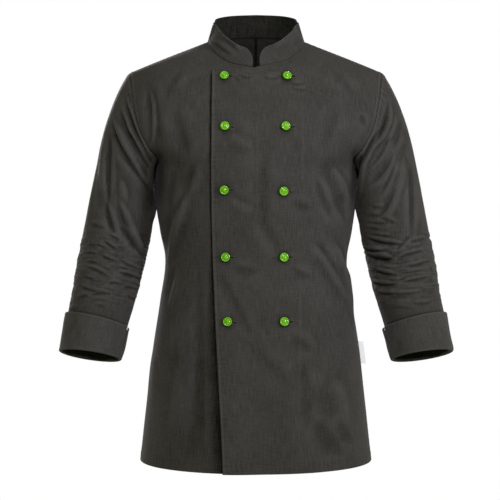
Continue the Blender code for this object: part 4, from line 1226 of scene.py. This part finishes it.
# %% [markdown]
# ## Wrinkles of the sleeves
# A bent arm pushes the cloth together in the crook of the elbow, and the armpit pulls long folds out of
# the armhole. The placed creases are the ones that matter. Between them the forearm is covered in small
# crosswise wrinkles, too many to place: ridged noise, stretched round the sleeve, stands for those.

# %% Sleeve creases
BACK_SLEEVE_CREASES = (
    # seen from behind: distance from the centre line instead of x
    (236, -120, 250, -170, 262, -236, -3.8, 8.5, 0.4),
    (206, -250, 226, -268, 252, -272, -4.8, 6.0, 0.5),
    (212, -300, 232, -322, 262, -330, -3.8, 6.8, 0.5),
    (222, -352, 250, -366, 286, -360, 3.8, 6.8, 0.4),
    (226, -372, 254, -388, 292, -380, -4.8, 6.0, 0.5),
    (234, -404, 262, -412, 300, -402, 3.5, 6.0, 0.4),
    (240, -424, 268, -432, 306, -424, -4.5, 6.0, 0.5),
    (250, -452, 276, -458, 312, -450, -2.9, 5.1, 0.4),
    (288, -180, 296, -240, 300, -310, -3.2, 8.5, 0.3),
)
BACK_SLEEVES_APART = 0.006  # the creases behind lie this much higher on the right sleeve than on the left
SLEEVE_FOLD_SCALE = 0.35
VIEW_FADE = (-0.3, 0.2)  # from the sides to the front or the back, as the sine of the angle
CROWD_LOWER_END = (-0.50, -0.44)  # heights between which the fine wrinkles at the elbow fade at either end
CROWD_UPPER_END = (-0.37, -0.32)
WRINKLE_HEIGHTS = (0.0010, 0.0009)  # of the fine and the less fine ones
WRINKLE_MEAN = 0.3  # about the mean of the cubed waves
SLEEVE_WEAR_AND_SHADE = 1.3  # times what the relief gives: paler crests, partly wear and partly painted highlight, and painted shade in creases
CUFF_SHADE = 1.8  # painted shade on the sleeve along the cuff's free edge
SLEEVE_TABLES = {1: (LEFT_SLEEVE_FOLDS, LEFT_SLEEVE_CREASES), -1: (RIGHT_SLEEVE_FOLDS, RIGHT_SLEEVE_CREASES)}


def sleeve_relief(points, angles, side):
    """Broad folds by angle and height, placed creases by front or back view, and the fine wrinkles."""
    x, z = points[..., 0], points[..., 2]
    turn = np.broadcast_to(angles, x.shape)
    facing = np.sin(np.radians(turn))
    broad, sharp = SLEEVE_TABLES[side]
    folds = SLEEVE_FOLD_SCALE * fold_height(turn, z, broad, math.radians(1) * SLEEVE_ROWS[0][3])
    placed = crease_height(x, z, sharp)
    behind = crease_height(np.abs(x), z - BACK_SLEEVES_APART * (side < 0), BACK_SLEEVE_CREASES)
    relief = folds + ease(facing, *VIEW_FADE) * placed + ease(-facing, *VIEW_FADE) * behind
    around = turn / 360
    slant = z + 0.012 * np.cos(np.radians(turn) + 0.6)
    fine = 1 - np.abs(soft_noise(around * 14, slant, 1.0, 0.0065, 60 + side))
    less_fine = 1 - np.abs(soft_noise(around * 20 + slant * 30, slant, 1.0, 0.011, 64 + side))
    crowd = ease(z, *CROWD_LOWER_END) * (1 - ease(z, *CROWD_UPPER_END))
    high, less_high = WRINKLE_HEIGHTS
    relief += crowd * (high * (fine**3 - WRINKLE_MEAN) + less_high * (less_fine**3 - WRINKLE_MEAN))
    relief += 0.0008 * soft_noise(around * 9, z, 1.0, 0.07, 70 + side)
    return relief


def build_sleeve(side):
    """One sleeve: rings, folds, ripples at the armhole seam, and a seam allowance that turns in behind it."""
    angles = np.arange(SLEEVE_ANGLES) * 360.0 / SLEEVE_ANGLES
    cap_steps = spaced(0, 1, 84, rim=[0.003, 0.008])
    at = spaced(0, len(SLEEVE_ROWS) - 1.02, 172, [(2.6, 1.3, 1.6)], [0.006, 0.016])[1:]
    rings = sleeve_surface(angles, cap_steps, at)
    mirror = np.array([side, 1, 1])
    heart = rings.mean(axis=1, keepdims=True) * mirror
    from_seam, around = running_length(rings, 0), running_length(rings, 1)
    calm = ease(from_seam, 0.0, 0.009) * ease(rings[..., 2], *SLEEVE_CALM_Z)
    relief = sleeve_relief(rings * mirror, angles, side) * calm
    seed = 80 if side > 0 else 90
    gather = 0.5 + 0.9 * ease(-np.cos(np.radians(angles)), -0.4, 0.5)  # most on the outer side
    relief += -0.0008 * bell(from_seam, 0.003) + gather * pucker(around, from_seam, seed, 0.00045, 0.0095, 0.011)
    points = relieved(rings * mirror, relief, heart, closed=True)
    inwards = unit(points[0].mean(axis=0) - points[0]) * ALLOWANCE - np.array([0.0025 * side, 0, 0])
    points = np.concatenate([[points[0] + inwards], [points[0] + 0.3 * inwards], points])
    heart = np.concatenate([heart[:1], heart[:1], heart])
    with_allowance = np.concatenate([relief[:1], relief[:1], relief])
    ridge = SLEEVE_WEAR_AND_SHADE * ridges_of(with_allowance, closed=True) + painted_armpit_shade(points, 0.016)
    ridge[2:] += seam_tone(from_seam)
    cuff_row = np.concatenate([np.full(len(ridge) - len(at), -9.0), at])[:, None] - (len(SLEEVE_ROWS) - 2)
    ridge -= CUFF_SHADE * bell(cuff_row + 0.02, 0.05)
    dress("sleeve_" + SIDES[side], points, CLOTH, heart, COTTON, closed=True, ridge=ridge)


for side in SIDES:
    build_sleeve(side)

# %% [markdown]
# ## Turned-back cuffs
# The cuff is a hemmed band that is folded up on the outside of the sleeve. Its section is the letter J:
# down the outside from the free edge, round the turned edge, and a short way up inside, where it is sewn
# to the sleeve. It has a slit, slightly open, at the inner side of the wrist.

# %% Cuffs
CUFF_RISE = 0.0028  # from the middle of the sleeve's cloth out to the cuff's
CUFF_FLARE = 0.0008  # what is added at the free edge
CUFF_BELLY = 0.0004
CUFF_SLIT = 12.0  # angle of the slit, in degrees from the inner side to the front
CUFF_SLIT_WIDTH = (5.0, 1.0)  # in degrees, at the free edge and at the fold
CUFF_HEIGHT = 0.061
CUFF_INSIDE = 0.0035  # how far the cuff runs up inside
CUFF_TURN = 0.0016  # the turned edge's radius, to the middle of the cloth
CUFF_PAINTED_LIGHT = 0.75  # painted light: the cuff is paler all over,
CUFF_BORDER_HIGHLIGHT = 1.3  # and a painted highlight along its borders
CUFF_FOLD_HIGHLIGHT = 0.9  # and along its fold


def cuff_section():
    """Distance down from the free edge, and distance out of the sleeve's middle, along the J."""
    low = CUFF_HEIGHT - CUFF_TURN
    down = spaced(0, low, 40, [(0, 0.003, 2.0)], RIM_STEPS)[:-2]
    turn = np.linspace(0, math.pi, 9)
    inside = np.linspace(low, low - CUFF_INSIDE, 4)[1:]
    share = down / low
    out = CUFF_RISE + CUFF_FLARE * (1 - share) + CUFF_BELLY * np.sin(math.pi * share)
    return (
        np.concatenate([down, low + CUFF_TURN * np.sin(turn), inside]),
        np.concatenate([out, CUFF_RISE / 2 + CUFF_RISE / 2 * np.cos(turn), np.zeros(len(inside))]),
    )


def build_cuff(side):
    """One cuff on the sleeve's last two rows, with stitched borders and an uneven free edge."""
    down, out = cuff_section()
    share = down / CUFF_HEIGHT
    half_slit = blend(CUFF_SLIT_WIDTH, np.clip(share, 0, 1))[:, None] / 2
    along = spaced(0, 1, 150, [(0, 0.02, 2.0), (1, 0.02, 2.0)], rim_shares(0.33))
    angles = CUFF_SLIT + half_slit + (360 - 2 * half_slit) * along
    at = len(SLEEVE_ROWS) - 2 + share
    rings = np.concatenate([sleeve_rings(at[k : k + 1], angles[k], out[k]) for k in range(len(at))])
    points = rings * np.array([side, 1, 1])
    heart = points.mean(axis=1, keepdims=True)
    from_top, from_slit = running_length(points, 0), running_length(points, 1)
    to_slit = np.minimum(from_slit, from_slit[:, -1:] - from_slit)
    to_stitch = from_top - EDGE_STITCH
    seed = 100 if side > 0 else 110
    relief = 0.0010 * soft_noise(angles / 40, from_top, 1.0, 0.035, seed)
    relief += 0.0005 * soft_noise(angles / 14, from_top, 1.0, 0.02, seed + 1)
    relief += 0.0006 * (1 + np.sin(3 * np.radians(angles) + side)) * (1 - share)[:, None]
    relief += pucker(from_slit, to_stitch, seed + 2, 0.0003) + stitched_groove(to_stitch, 0.0004)
    relief += stitched_groove(to_slit - EDGE_STITCH, 0.0004) * (to_stitch > 0)
    relief *= (1 - ease(down, CUFF_HEIGHT - 0.004, CUFF_HEIGHT))[:, None]
    points = relieved(points, relief, heart)
    border = bell(np.minimum(from_top, to_slit) - 0.0012, 0.0015)
    ridge = CUFF_PAINTED_LIGHT + ridges_of(relief) + CUFF_BORDER_HIGHLIGHT * border
    ridge += CUFF_FOLD_HIGHLIGHT * bell(down - CUFF_HEIGHT, 0.0025)[:, None]
    return dress("cuff_" + SIDES[side], points, CLOTH + 0.0003, heart, COTTON, ridge=ridge) | {"from_top": from_top}


CUFFS = {side: build_cuff(side) for side in SIDES}

# %% [markdown]
# ## The stand collar
# The collar is a straight band of two layers with an interlining, so it stands up by itself and is thicker
# than the rest. It is sewn to the neckline, leans in towards the neck, and its two front ends are
# rounded and stand 16 mm apart. Its stitched border runs parallel to its edge.

# %% Collar
COLLAR_CLOTH = 0.0026
COLLAR_HEIGHT = (0.036, 0.041)  # in front and behind, as are the two leans
COLLAR_LEAN = (0.38, 0.11)
COLLAR_GAP = 0.0082  # from the start of the neckline to the collar's end
COLLAR_ROUND = 0.027  # length of the rounded ends
COLLAR_END_POWER = 2.1  # 2 would be an ellipse
COLLAR_END_HEIGHT = 0.16  # share of the height that is left at the very end
COLLAR_SEAT = -0.0004  # its lower edge just under the neckline, where it is sewn in
COLLAR_STITCH = 0.0028  # from its edge to the stitched line
COLLAR_BORDER_HIGHLIGHT = 1.2  # painted highlight along its rounded border
COLLAR_SEAM_SHADE = 2.6  # painted shade along its seam, this much darker
COLLAR_SEAM_LIT = 0.55  # share of that painted shade which is missing in front on the wearer's left, where light falls
COLLAR_BUNCHING = 0.45  # brings its columns closer together at the ends
NECKLINE_MARKS, NECKLINE_ROUNDS = 60, 6
COLLAR_CREASES = (  # the same columns as FRONT_CREASES
    (-66, 6, -47, -10, -26, -32, -2.6, 4.0, 0.6),
    (-78, 0, -62, -18, -40, -34, -2.2, 3.5, 0.5),
    (-56, 14, -42, 2, -28, -14, -1.6, 4.5, 0.4),
    (58, -2, 44, -10, 30, -20, 0.9, 5.0, 0.3),
    (84, 10, 74, -6, 60, -18, -0.9, 5.0, 0.4),
)


def neckline(columns):
    """The neckline from the front of the side -1 round the back to the front of the side +1.

    Gives its points, closer together at the front ends, and their distances from the first. A few rounds
    of averaging take the corners out of it, as its interlining does.
    """
    rows = np.linspace(NECK_ROW, SHOULDER_ROW, NECKLINE_MARKS)
    centre = np.zeros_like(rows)
    front, back = body_point(centre, rows, True), body_point(centre, rows, False)
    rise = top_front_rise(front[:, 0], front[:, 2])[:, None] * body_normal(centre, rows, True)
    under_half = np.concatenate([back, front[::-1][1:]]) * np.array([-1, 1, 1])
    whole = np.concatenate([under_half[::-1], back[1:], (front + rise)[::-1][1:]])
    length = np.concatenate([[0], np.cumsum(np.linalg.norm(np.diff(whole, axis=0), axis=1))])
    share = np.linspace(0, 1, columns)
    share = blend((share, (1 - np.cos(share * math.pi)) / 2), COLLAR_BUNCHING)
    rim = np.array([0.0005, 0.0014])
    share = np.unique(np.concatenate([share, rim, 1 - rim]))
    at = blend((COLLAR_GAP, length[-1] - COLLAR_GAP), share)
    curve = np.stack([np.interp(at, length, whole[:, k]) for k in range(3)], axis=1)
    smooth = curve.copy()
    for _ in range(NECKLINE_ROUNDS):
        smooth[1:-1] = (smooth[:-2] + 2 * smooth[1:-1] + smooth[2:]) / 4
    return smooth, at - at[0]


def build_collar():
    """The collar: the neckline, carried up along its stand by a height that drops in an ellipse at the ends."""
    curve, at = neckline(300)
    tangent = unit(np.gradient(curve, at, axis=0))
    inwards = unit(-curve * np.array([1.0, 1.0, 0.0]))
    behind = ease(curve[:, 1], 0, BACK_NECK[1])[:, None]
    stand = np.array([0, 0, 1.0]) + inwards * blend(COLLAR_LEAN, behind)
    stand = square_to(tangent, stand)
    from_end = np.minimum(at, at[-1] - at)
    rounding = np.clip(1 - from_end / COLLAR_ROUND, 0, 1)[:, None]
    rounded = (1 - rounding**COLLAR_END_POWER) ** (1 / COLLAR_END_POWER)
    height = blend(COLLAR_HEIGHT, behind) * np.maximum(rounded, COLLAR_END_HEIGHT)
    levels = spaced(0, 1, 26, [(1, 0.08, 1.5)], [0.01, 0.028])[:, None, None]
    points = curve + stand * blend((COLLAR_SEAT, height), levels)
    heart = points * np.array([0.0, 0.0, 1.0])
    from_seam, along = running_length(points, 0), running_length(points, 1)
    to_end = np.minimum(along, along[:, -1:] - along)
    to_edge = np.minimum(from_seam[-1:] - from_seam, to_end)
    relief = 0.0007 * soft_noise(along, from_seam, 0.045, 0.05, 120)
    relief += 0.0003 * soft_noise(along, from_seam, 0.018, 0.03, 121)
    relief *= ease(from_seam, 0, 0.012)
    relief += pucker(along, from_seam, 122, 0.0003, 0.008, 0.005) - 0.0007 * bell(to_edge - COLLAR_STITCH, 0.0010)
    in_front = points[..., 1] < 0
    relief += crease_height(points[..., 0], points[..., 2], COLLAR_CREASES) * in_front
    points = relieved(points, relief, heart)
    lit = COLLAR_SEAM_LIT * ease(points[..., 0], -0.005, 0.02) * (points[..., 1] < 0)
    ridge = ridges_of(relief) + COLLAR_BORDER_HIGHLIGHT * bell(to_edge - 0.001, 0.0013)
    ridge -= COLLAR_SEAM_SHADE * bell(from_seam, 0.0021) * (1 - lit)
    return dress("collar", points, COLLAR_CLOTH, heart, COTTON, ridge=ridge) | {"to_edge": to_edge}


COLLAR = build_collar()

# %% [markdown]
# ## Topstitching
# A sewing machine leaves a row of short thread grains, each about 2.5 mm long, sunk a little into the cloth.
# A dashed line in the material would vanish at an angle, and a curve per stitch would be slow. All grains
# are one mesh: a small capsule of 40 triangles, copied by array arithmetic to even distances along lines
# that run at a fixed distance from the seams and edges.

# %% Thread grains
STITCH = 0.0032  # from stitch to stitch
STITCH_LENGTH = 0.0025
BAR_LENGTH = 0.0015  # of a thread bar of a buttonhole
THREAD_RADIUS = 0.00027
THREAD_LIFT = 0.00003  # from the cloth's outer side to the thread's middle
GRAIN_SIDES = 5


def closed_lathe(rings, sides):
    """Quads between rings of so many points, and the triangles that close both ends to two more points."""
    row, column = quads_of(rings, sides, closed=True)
    quads = row * sides + column % sides
    k = np.arange(sides)
    beside, last, pole = (k + 1) % sides, (rings - 1) * sides, np.full(sides, rings * sides)
    return quads, np.stack([beside, k, pole], axis=1), np.stack([last + k, last + beside, pole + 1], axis=1)


def grain_shape(length):
    """A capsule along its first axis: four rings of five points between two poles, its ends dipping down."""
    along = np.array([-0.42, -0.18, 0.18, 0.42])[:, None] * length
    radius = np.array([0.8, 1.0, 1.0, 0.8])[:, None] * THREAD_RADIUS
    dip = np.array([-0.55, 0.0, 0.0, -0.55])[:, None] * THREAD_RADIUS
    turn = np.arange(GRAIN_SIDES) * 2 * math.pi / GRAIN_SIDES
    rings = np.stack([along + 0 * turn, radius * np.cos(turn), dip + radius * np.sin(turn)], axis=-1)
    ends = np.array([[-length / 2, 0, -THREAD_RADIUS], [length / 2, 0, -THREAD_RADIUS]])
    return np.concatenate([rings.reshape(-1, 3), ends])


def line_at(part, key, level, axis=0, rows=slice(None)):
    """Points and normals of a cloth's outer side where a distance that grows along one axis reaches a level."""
    distance, outer, normal = (np.moveaxis(part[name][rows], axis, 0) for name in (key, "outer", "normal"))
    after = np.maximum(np.argmax(distance >= level, axis=0), 1)
    pick = np.nonzero(distance.max(axis=0) > level)[0]
    after = after[pick]
    low, high = distance[after - 1, pick], distance[after, pick]
    share = ((level - low) / (high - low))[:, None]
    points = blend((outer[after - 1, pick], outer[after, pick]), share)
    return points, unit(blend((normal[after - 1, pick], normal[after, pick]), share))


def grains_along(points, normals):
    """Centres and three directions of the grains: one every pitch along a line."""
    run = np.concatenate([[0], np.cumsum(np.linalg.norm(np.diff(points, axis=0), axis=1))])
    at = np.arange(STITCH, run[-1] - STITCH / 2, STITCH)
    place = lambda where, values: np.stack([np.interp(where, run, values[:, k]) for k in range(3)], axis=1)
    way = unit(place(at + STITCH_LENGTH / 2, points) - place(at - STITCH_LENGTH / 2, points))
    up = square_to(way, place(at, normals))
    return place(at, points), way, np.cross(up, way), up


def sew(name, runs, length):
    """All grains of several runs as one mesh: centre + way * x + aside * y + up * (z + lift)."""
    centre, way, aside, up = (np.concatenate([run[k] for run in runs])[:, None] for k in range(4))
    shape = grain_shape(length)
    points = centre + up * THREAD_LIFT + way * shape[:, :1] + aside * shape[:, 1:2] + up * shape[:, 2:]
    first = np.arange(len(centre))[:, None, None] * len(shape)
    quads, *fans = closed_lathe(4, GRAIN_SIDES)
    faces = [(first + group).reshape(-1, group.shape[1]) for group in (quads, np.concatenate(fans))]
    new_piece(name, points.reshape(-1, 3), faces, THREAD)


runs = []
for side in SIDES:
    front, back, cuff = FRONTS[side], BACKS[side], CUFFS[side]
    for part in (front, back):
        runs.append(grains_along(*line_at(part, "from_hem", HEM)))
    runs.append(grains_along(*line_at(front, "from_edge", EDGE_STITCH, 1, front["rows"] <= NECK_ROW)))
    runs.append(grains_along(*line_at(cuff, "from_top", EDGE_STITCH)))
    for part in (front, back):
        beside_arm = np.ix_(part["rows"] > UNDERARM_ROW + 0.2, np.arange(part["outer"].shape[1])[::-1])
        runs.append(grains_along(*line_at(part, "from_side", ARMHOLE_STITCH, 1, beside_arm)))
runs.append(grains_along(*line_at(COLLAR, "to_edge", COLLAR_STITCH, 0, slice(None, None, -1))))
sew("topstitching", runs, STITCH_LENGTH)

# %% [markdown]
# ## Buttonholes
# Each hole is a slit worked round with close thread bars, so it stands up as a thin oval cord. The stud
# sits at one end and the rest of the slit shows beside it. The bars are the same grains, laid across.

# %% Buttonholes
HOLE_ENDS = (-0.001, 0.015)  # of the straight part, from the stud's middle
HOLE_HALF_WIDTH = 0.0023
HOLE_TILT = 0.06  # the slit drops a little away from the stud
HOLE_BARS = 34  # along each side
HOLE_END_BARS = 7
SLIT_LIFTS = (0.00012, 0.00003, 0.00012)  # its borders and its middle, over the cloth
# The slit shows the under layer of cloth, painted near black as its shade.
SLIT_SHADE, tree, shader = new_finish("charcoal_cotton_with_painted_slit_shade", Roughness=0.95)
place = add_node(tree, "ShaderNodeTexCoord").outputs["Object"]
fuzz = add_node(tree, "ShaderNodeTexNoise", {"Scale": 1500.0}, {"Vector": place})
base_colour(tree, shader, "#0e0e0d", "#1d1c1b", fuzz.outputs["Fac"])


def on_top_front(x, z, above=0.0):
    """Points and normals on the top front's outer side."""
    x, z = np.atleast_1d(x).astype(float), np.atleast_1d(z).astype(float)
    return front_cloth(x, z, top_front_rise(x, z) + button_pull(x, z) + CLOTH / 2 + above)[:2]


def buttonhole_bars(x, z, along, tilt):
    """Centres and three directions of the bars: a row above the slit, one below, and a fan at its end."""
    turn = np.linspace(-math.pi / 2, math.pi / 2, HOLE_END_BARS + 2)[1:-1]
    line = np.stack([x + along, z - tilt * along], axis=1)
    out = np.concatenate([np.tile([0.0, 1.0], (HOLE_BARS, 1)), np.tile([0.0, -1.0], (HOLE_BARS, 1)),
                          np.stack([np.cos(turn), np.sin(turn)], axis=1)])
    flat = np.concatenate([line, line, np.tile(line[-1], (HOLE_END_BARS, 1))]) + out * HOLE_HALF_WIDTH
    centre, up = on_top_front(flat[:, 0], flat[:, 1], 0.0001)
    way = square_to(up, np.stack([out[:, 0], np.zeros(len(out)), out[:, 1]], axis=1))
    return centre, way, np.cross(up, way), up


def slit_strip(x, z, along, tilt):
    """A strip of painted shade between the bars, lower in its middle, whose width falls to nothing at its far end."""
    half_width = HOLE_HALF_WIDTH * 0.8 * np.sqrt(np.clip(1 - (along / along[-1]) ** 6, 0.02, 1))
    across = np.array([-1.0, 0.0, 1.0])[:, None] * half_width
    strip, up = on_top_front(np.broadcast_to(x + along, across.shape), z - tilt * along + across)
    return (strip + up * np.array(SLIT_LIFTS)[:, None, None]).reshape(-1, 3)


along = np.linspace(*HOLE_ENDS, HOLE_BARS)
runs, strips = [], []
for number, (x, z) in enumerate(STUD_PLACES):
    tilt = HOLE_TILT * (1 + math.sin(2.1 * number))
    runs.append(buttonhole_bars(x, z, along, tilt))
    strips.append(slit_strip(x, z, along, tilt))
sew("buttonhole_thread", runs, BAR_LENGTH)
row, column = quads_of(3, HOLE_BARS)
quads = row * HOLE_BARS + column
faces = np.concatenate([quads + number * len(strip) for number, strip in enumerate(strips)])
slits = new_piece("buttonhole_slits", np.concatenate(strips), [faces], SLIT_SHADE)
solid = slits.modifiers.new("Cloth under the slit", "SOLIDIFY")
solid.thickness, solid.offset = 0.0004, -1.0

# %% [markdown]
# ## Studs
# Chef jackets close with studs that pull out for the laundry: a cap with a raised rim, a ring-shaped
# hollow and a low dome, on a short post. A lathe is the natural tool, so one profile is turned about the
# cloth's normal at each stud's own place.

# %% Turning the studs
STUD_RADIUS = 0.0078
STUD_HEIGHT = 0.0058
STUD_PROFILE = np.array(
    [
        # share of the radius, share of the height, from the post's foot up to the middle of the dome
        (0.30, -0.30), (0.42, -0.30), (0.42, 0.10), (0.43, 0.20), (0.60, 0.235), (0.86, 0.25), (0.955, 0.29),
        (0.992, 0.37), (1.00, 0.47), (0.990, 0.57), (0.960, 0.66), (0.915, 0.73), (0.86, 0.765), (0.805, 0.76),
        (0.755, 0.71), (0.715, 0.63), (0.675, 0.57), (0.625, 0.555), (0.575, 0.59), (0.53, 0.67), (0.475, 0.75),
        (0.40, 0.83), (0.31, 0.90), (0.21, 0.955), (0.11, 0.985), (0.04, 0.998),
    ]
)
STUD_SIDES = 40
STUD_LIFT = 0.0009  # from the cloth to the height 0 of the profile


def turn_stud(name, x, z):
    """A closed lathe: point = foot + radius (cos * aside + sin * above) + height * normal."""
    place, normal = (values[0] for values in on_top_front(x, z, STUD_LIFT))
    aside = unit(np.cross(normal, [0, 0, 1.0]))
    above = np.cross(aside, normal)
    turn = np.arange(STUD_SIDES)[None] * 2 * math.pi / STUD_SIDES
    radius, height = STUD_PROFILE[:, :1] * STUD_RADIUS, STUD_PROFILE[:, 1:] * STUD_HEIGHT
    ring = (radius * np.cos(turn))[..., None] * aside + (radius * np.sin(turn))[..., None] * above
    points = (place + ring + height[..., None] * normal).reshape(-1, 3)
    points = np.concatenate([points, [place, place + normal * STUD_HEIGHT]])
    faces = [group[:, ::-1] for group in closed_lathe(len(STUD_PROFILE), STUD_SIDES)]
    stud = new_piece(name.replace("button", "stud"), points, faces, PLASTIC)
    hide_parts(name)


for name, (x, z) in zip(BUTTONS, STUD_PLACES):
    turn_stud(name, x, z)

# %% [markdown]
# ## Side tab
# A small folded tape is caught in the wearer's left side seam. Its section is a narrow U with the fold
# outside, swept up the seam. Its face is left plain.

# %% The tab
TAB_OUT, TAB_LONG = 0.010, 0.040
TAB_HEIGHT = -0.560
TAB_TURN = -0.12  # it leans this share of its reach to the front
TAB_FOLD = 0.0004  # radius of the fold
TAPE_THICKNESS = 0.0005


def build_tab():
    """A U-shaped section (in along one face, round the fold, back along the other) swept along the seam."""
    heights = TAB_HEIGHT + spaced(-TAB_LONG / 2, TAB_LONG / 2, 30, rim=(0.0002, 0.0006))
    row = np.interp(heights, [r[0] for r in BODY_ROWS], np.arange(len(BODY_ROWS)))
    seam = body_point(np.ones_like(row), row, True)
    out = np.linspace(-0.001, TAB_OUT - TAB_FOLD, 12)
    bend = np.linspace(-math.pi / 2, math.pi / 2, 7)[1:-1]
    away = np.concatenate([out, out[-1] + TAB_FOLD * np.cos(bend), out[::-1]])
    apart = np.concatenate([np.full(12, -TAB_FOLD), TAB_FOLD * np.sin(bend), np.full(12, TAB_FOLD)])
    curl = 0.0006 * np.sin((heights - TAB_HEIGHT) / TAB_LONG * 2.4)[None] * (away[:, None] / TAB_OUT) ** 2
    points = np.stack(
        [
            seam[:, 0] + away[:, None],
            seam[:, 1] + TAB_TURN * away[:, None] + apart[:, None] + curl,
            np.broadcast_to(seam[:, 2], (len(away), len(heights))),
        ],
        axis=-1,
    )
    heart = points.mean(axis=0, keepdims=True)
    piece = cloth_wall("side_tab_tape", points, TAPE_THICKNESS, heart, TAPE)[0]
    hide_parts("label_tab")


build_tab()

# %% [markdown]
# ## Floor, light and camera
# Dark cloth shows its folds only where light grazes it. The key is therefore a low light at the front
# right, held narrow by a grid, and a second gridded light from above the camera fills the front. A weak
# light at each side draws a pale line along the outline, and two behind light the back. Under an even dome
# alone every fold would vanish. The floor is a pale disc, well below the hem and outside the camera's view.
# The camera stands level at the height of the waist, with a long lens, so the sleeves aren't widened.

# %% Floor
FLOOR, tree, shader = new_finish("pale_floor_paint_rolled", Roughness=0.9, Emission_Strength=0.2)
place = add_node(tree, "ShaderNodeTexCoord").outputs["Object"]
roller = add_node(tree, "ShaderNodeTexNoise", {"Scale": 6.0, "Detail": 3.0}, {"Vector": place})
base_colour(tree, shader, "#e9e7f8", "#f2f0ff", roller.outputs["Fac"])
FLOOR_Z, FLOOR_RADIUS, FLOOR_SIDES = -1.45, 1.9, 96
turn = np.arange(FLOOR_SIDES) * 2 * math.pi / FLOOR_SIDES
rim = np.stack([FLOOR_RADIUS * np.cos(turn), FLOOR_RADIUS * np.sin(turn), np.full(FLOOR_SIDES, FLOOR_Z)], axis=1)
mesh = bpy.data.meshes.new("floor")
mesh.from_pydata(rim.tolist(), [], [list(range(FLOOR_SIDES))])
mesh.materials.append(FLOOR)
floor = bpy.data.objects.new("floor", mesh)
bpy.context.scene.collection.objects.link(floor)

# %% World, lights and camera
scene = bpy.context.scene
world = scene.world or bpy.data.worlds.new("studio")
scene.world = world
world.use_nodes = True
tree = world.node_tree
tree.nodes.clear()
seen = add_node(tree, "ShaderNodeBackground", {"Color": (1, 1, 1, 1), "Strength": 1.0})
lighting = add_node(tree, "ShaderNodeBackground", {"Color": hex_colour("#f8f8ba"), "Strength": 0.21})
ray = add_node(tree, "ShaderNodeLightPath").outputs["Is Camera Ray"]
both = add_node(tree, "ShaderNodeMixShader", {}, {0: ray, 1: lighting.outputs[0], 2: seen.outputs[0]})
add_node(tree, "ShaderNodeOutputWorld", {}, {"Surface": both.outputs[0]})


def soft_light(name, place, aim, size, power, colour, spread):
    """A square area light at a place, turned to its aim; a grid narrows its spread, in degrees."""
    light = bpy.data.lights.new(name, "AREA")
    light.size, light.energy, light.color = size, power, hex_colour(colour)[:3]
    light.spread = math.radians(spread)
    made = bpy.data.objects.new(name, light)
    scene.collection.objects.link(made)
    made.location = place
    way = np.array(aim, float) - np.array(place, float)
    flat = math.hypot(way[0], way[1])
    made.rotation_euler = (math.atan2(flat, -way[2]), 0.0, math.atan2(way[1], way[0]) - math.pi / 2)


LIGHTS = (
    # name, place, aim, size in metres, power in watts, colour, spread in degrees
    ("key", (1.7, -1.3, 0.12), (-0.1, 0.0, -0.36), 0.3, 3.35, "#efecff", 75),
    ("front", (0.0, -2.3, 1.1), (0.0, 0.0, -0.15), 0.5, 5.35, "#f3f0ff", 70),
    ("rim_right", (1.5, 0.8, -0.5), (0.2, 0.0, -0.5), 0.8, 4, "#f6f6f0", 180),
    ("back_key", (-1.1, 2.1, 0.7), (0.0, 0.1, -0.25), 0.4, 7, "#fbf6ff", 75),
    ("back_fill", (0.8, 2.3, 0.4), (0.0, 0.1, -0.3), 0.6, 3, "#fbf8ff", 75),
    ("rim_left", (-1.5, 0.8, -0.5), (-0.2, 0.0, -0.5), 0.8, 5, "#f6f6f0", 180),
)
for light in LIGHTS:
    soft_light(*light)
scene.view_settings.view_transform = "Standard"

camera = bpy.data.cameras.new("camera")
camera.lens, camera.sensor_width = 104.0, 36.0
eye = bpy.data.objects.new("camera", camera)
scene.collection.objects.link(eye)
eye.location = (-0.0108, -2.6, -0.3744)
eye.rotation_euler = (math.pi / 2, 0.0, 0.0)
scene.camera = eye

# %% [markdown]
# ## What each cloth was cut from
# A sheet's flat size is the smallest rectangle its pattern piece fits, without the turned-in allowances.
# The areas are those of the shaped pattern pieces.

# %% Flat sizes and triangle count
CUT = {
    # width, length, area, how it is held, in metres and square metres
    "front_left_cloth": (0.36, 0.80, 0.2441, "draped"),
    "front_right_cloth": (0.36, 0.80, 0.2423, "draped"),
    "back_left_cloth": (0.27, 0.80, 0.1815, "draped"),
    "back_right_cloth": (0.27, 0.80, 0.1815, "draped"),
    "sleeve_left_cloth": (0.40, 0.54, 0.1618, "draped"),
    "sleeve_right_cloth": (0.40, 0.54, 0.1618, "draped"),
    "cuff_left_cloth": (0.36, 0.073, 0.0246, "draped"),
    "cuff_right_cloth": (0.36, 0.073, 0.0246, "draped"),
    "collar_cloth": (0.50, 0.042, 0.0189, "draped"),
    "side_tab_tape": (0.040, 0.023, 0.0009, "folded"),
}
total = sum(len(face.vertices) - 2 for item in bpy.data.objects if item.name in CUT for face in item.data.polygons)
print("triangles of the cloth pieces:", total)
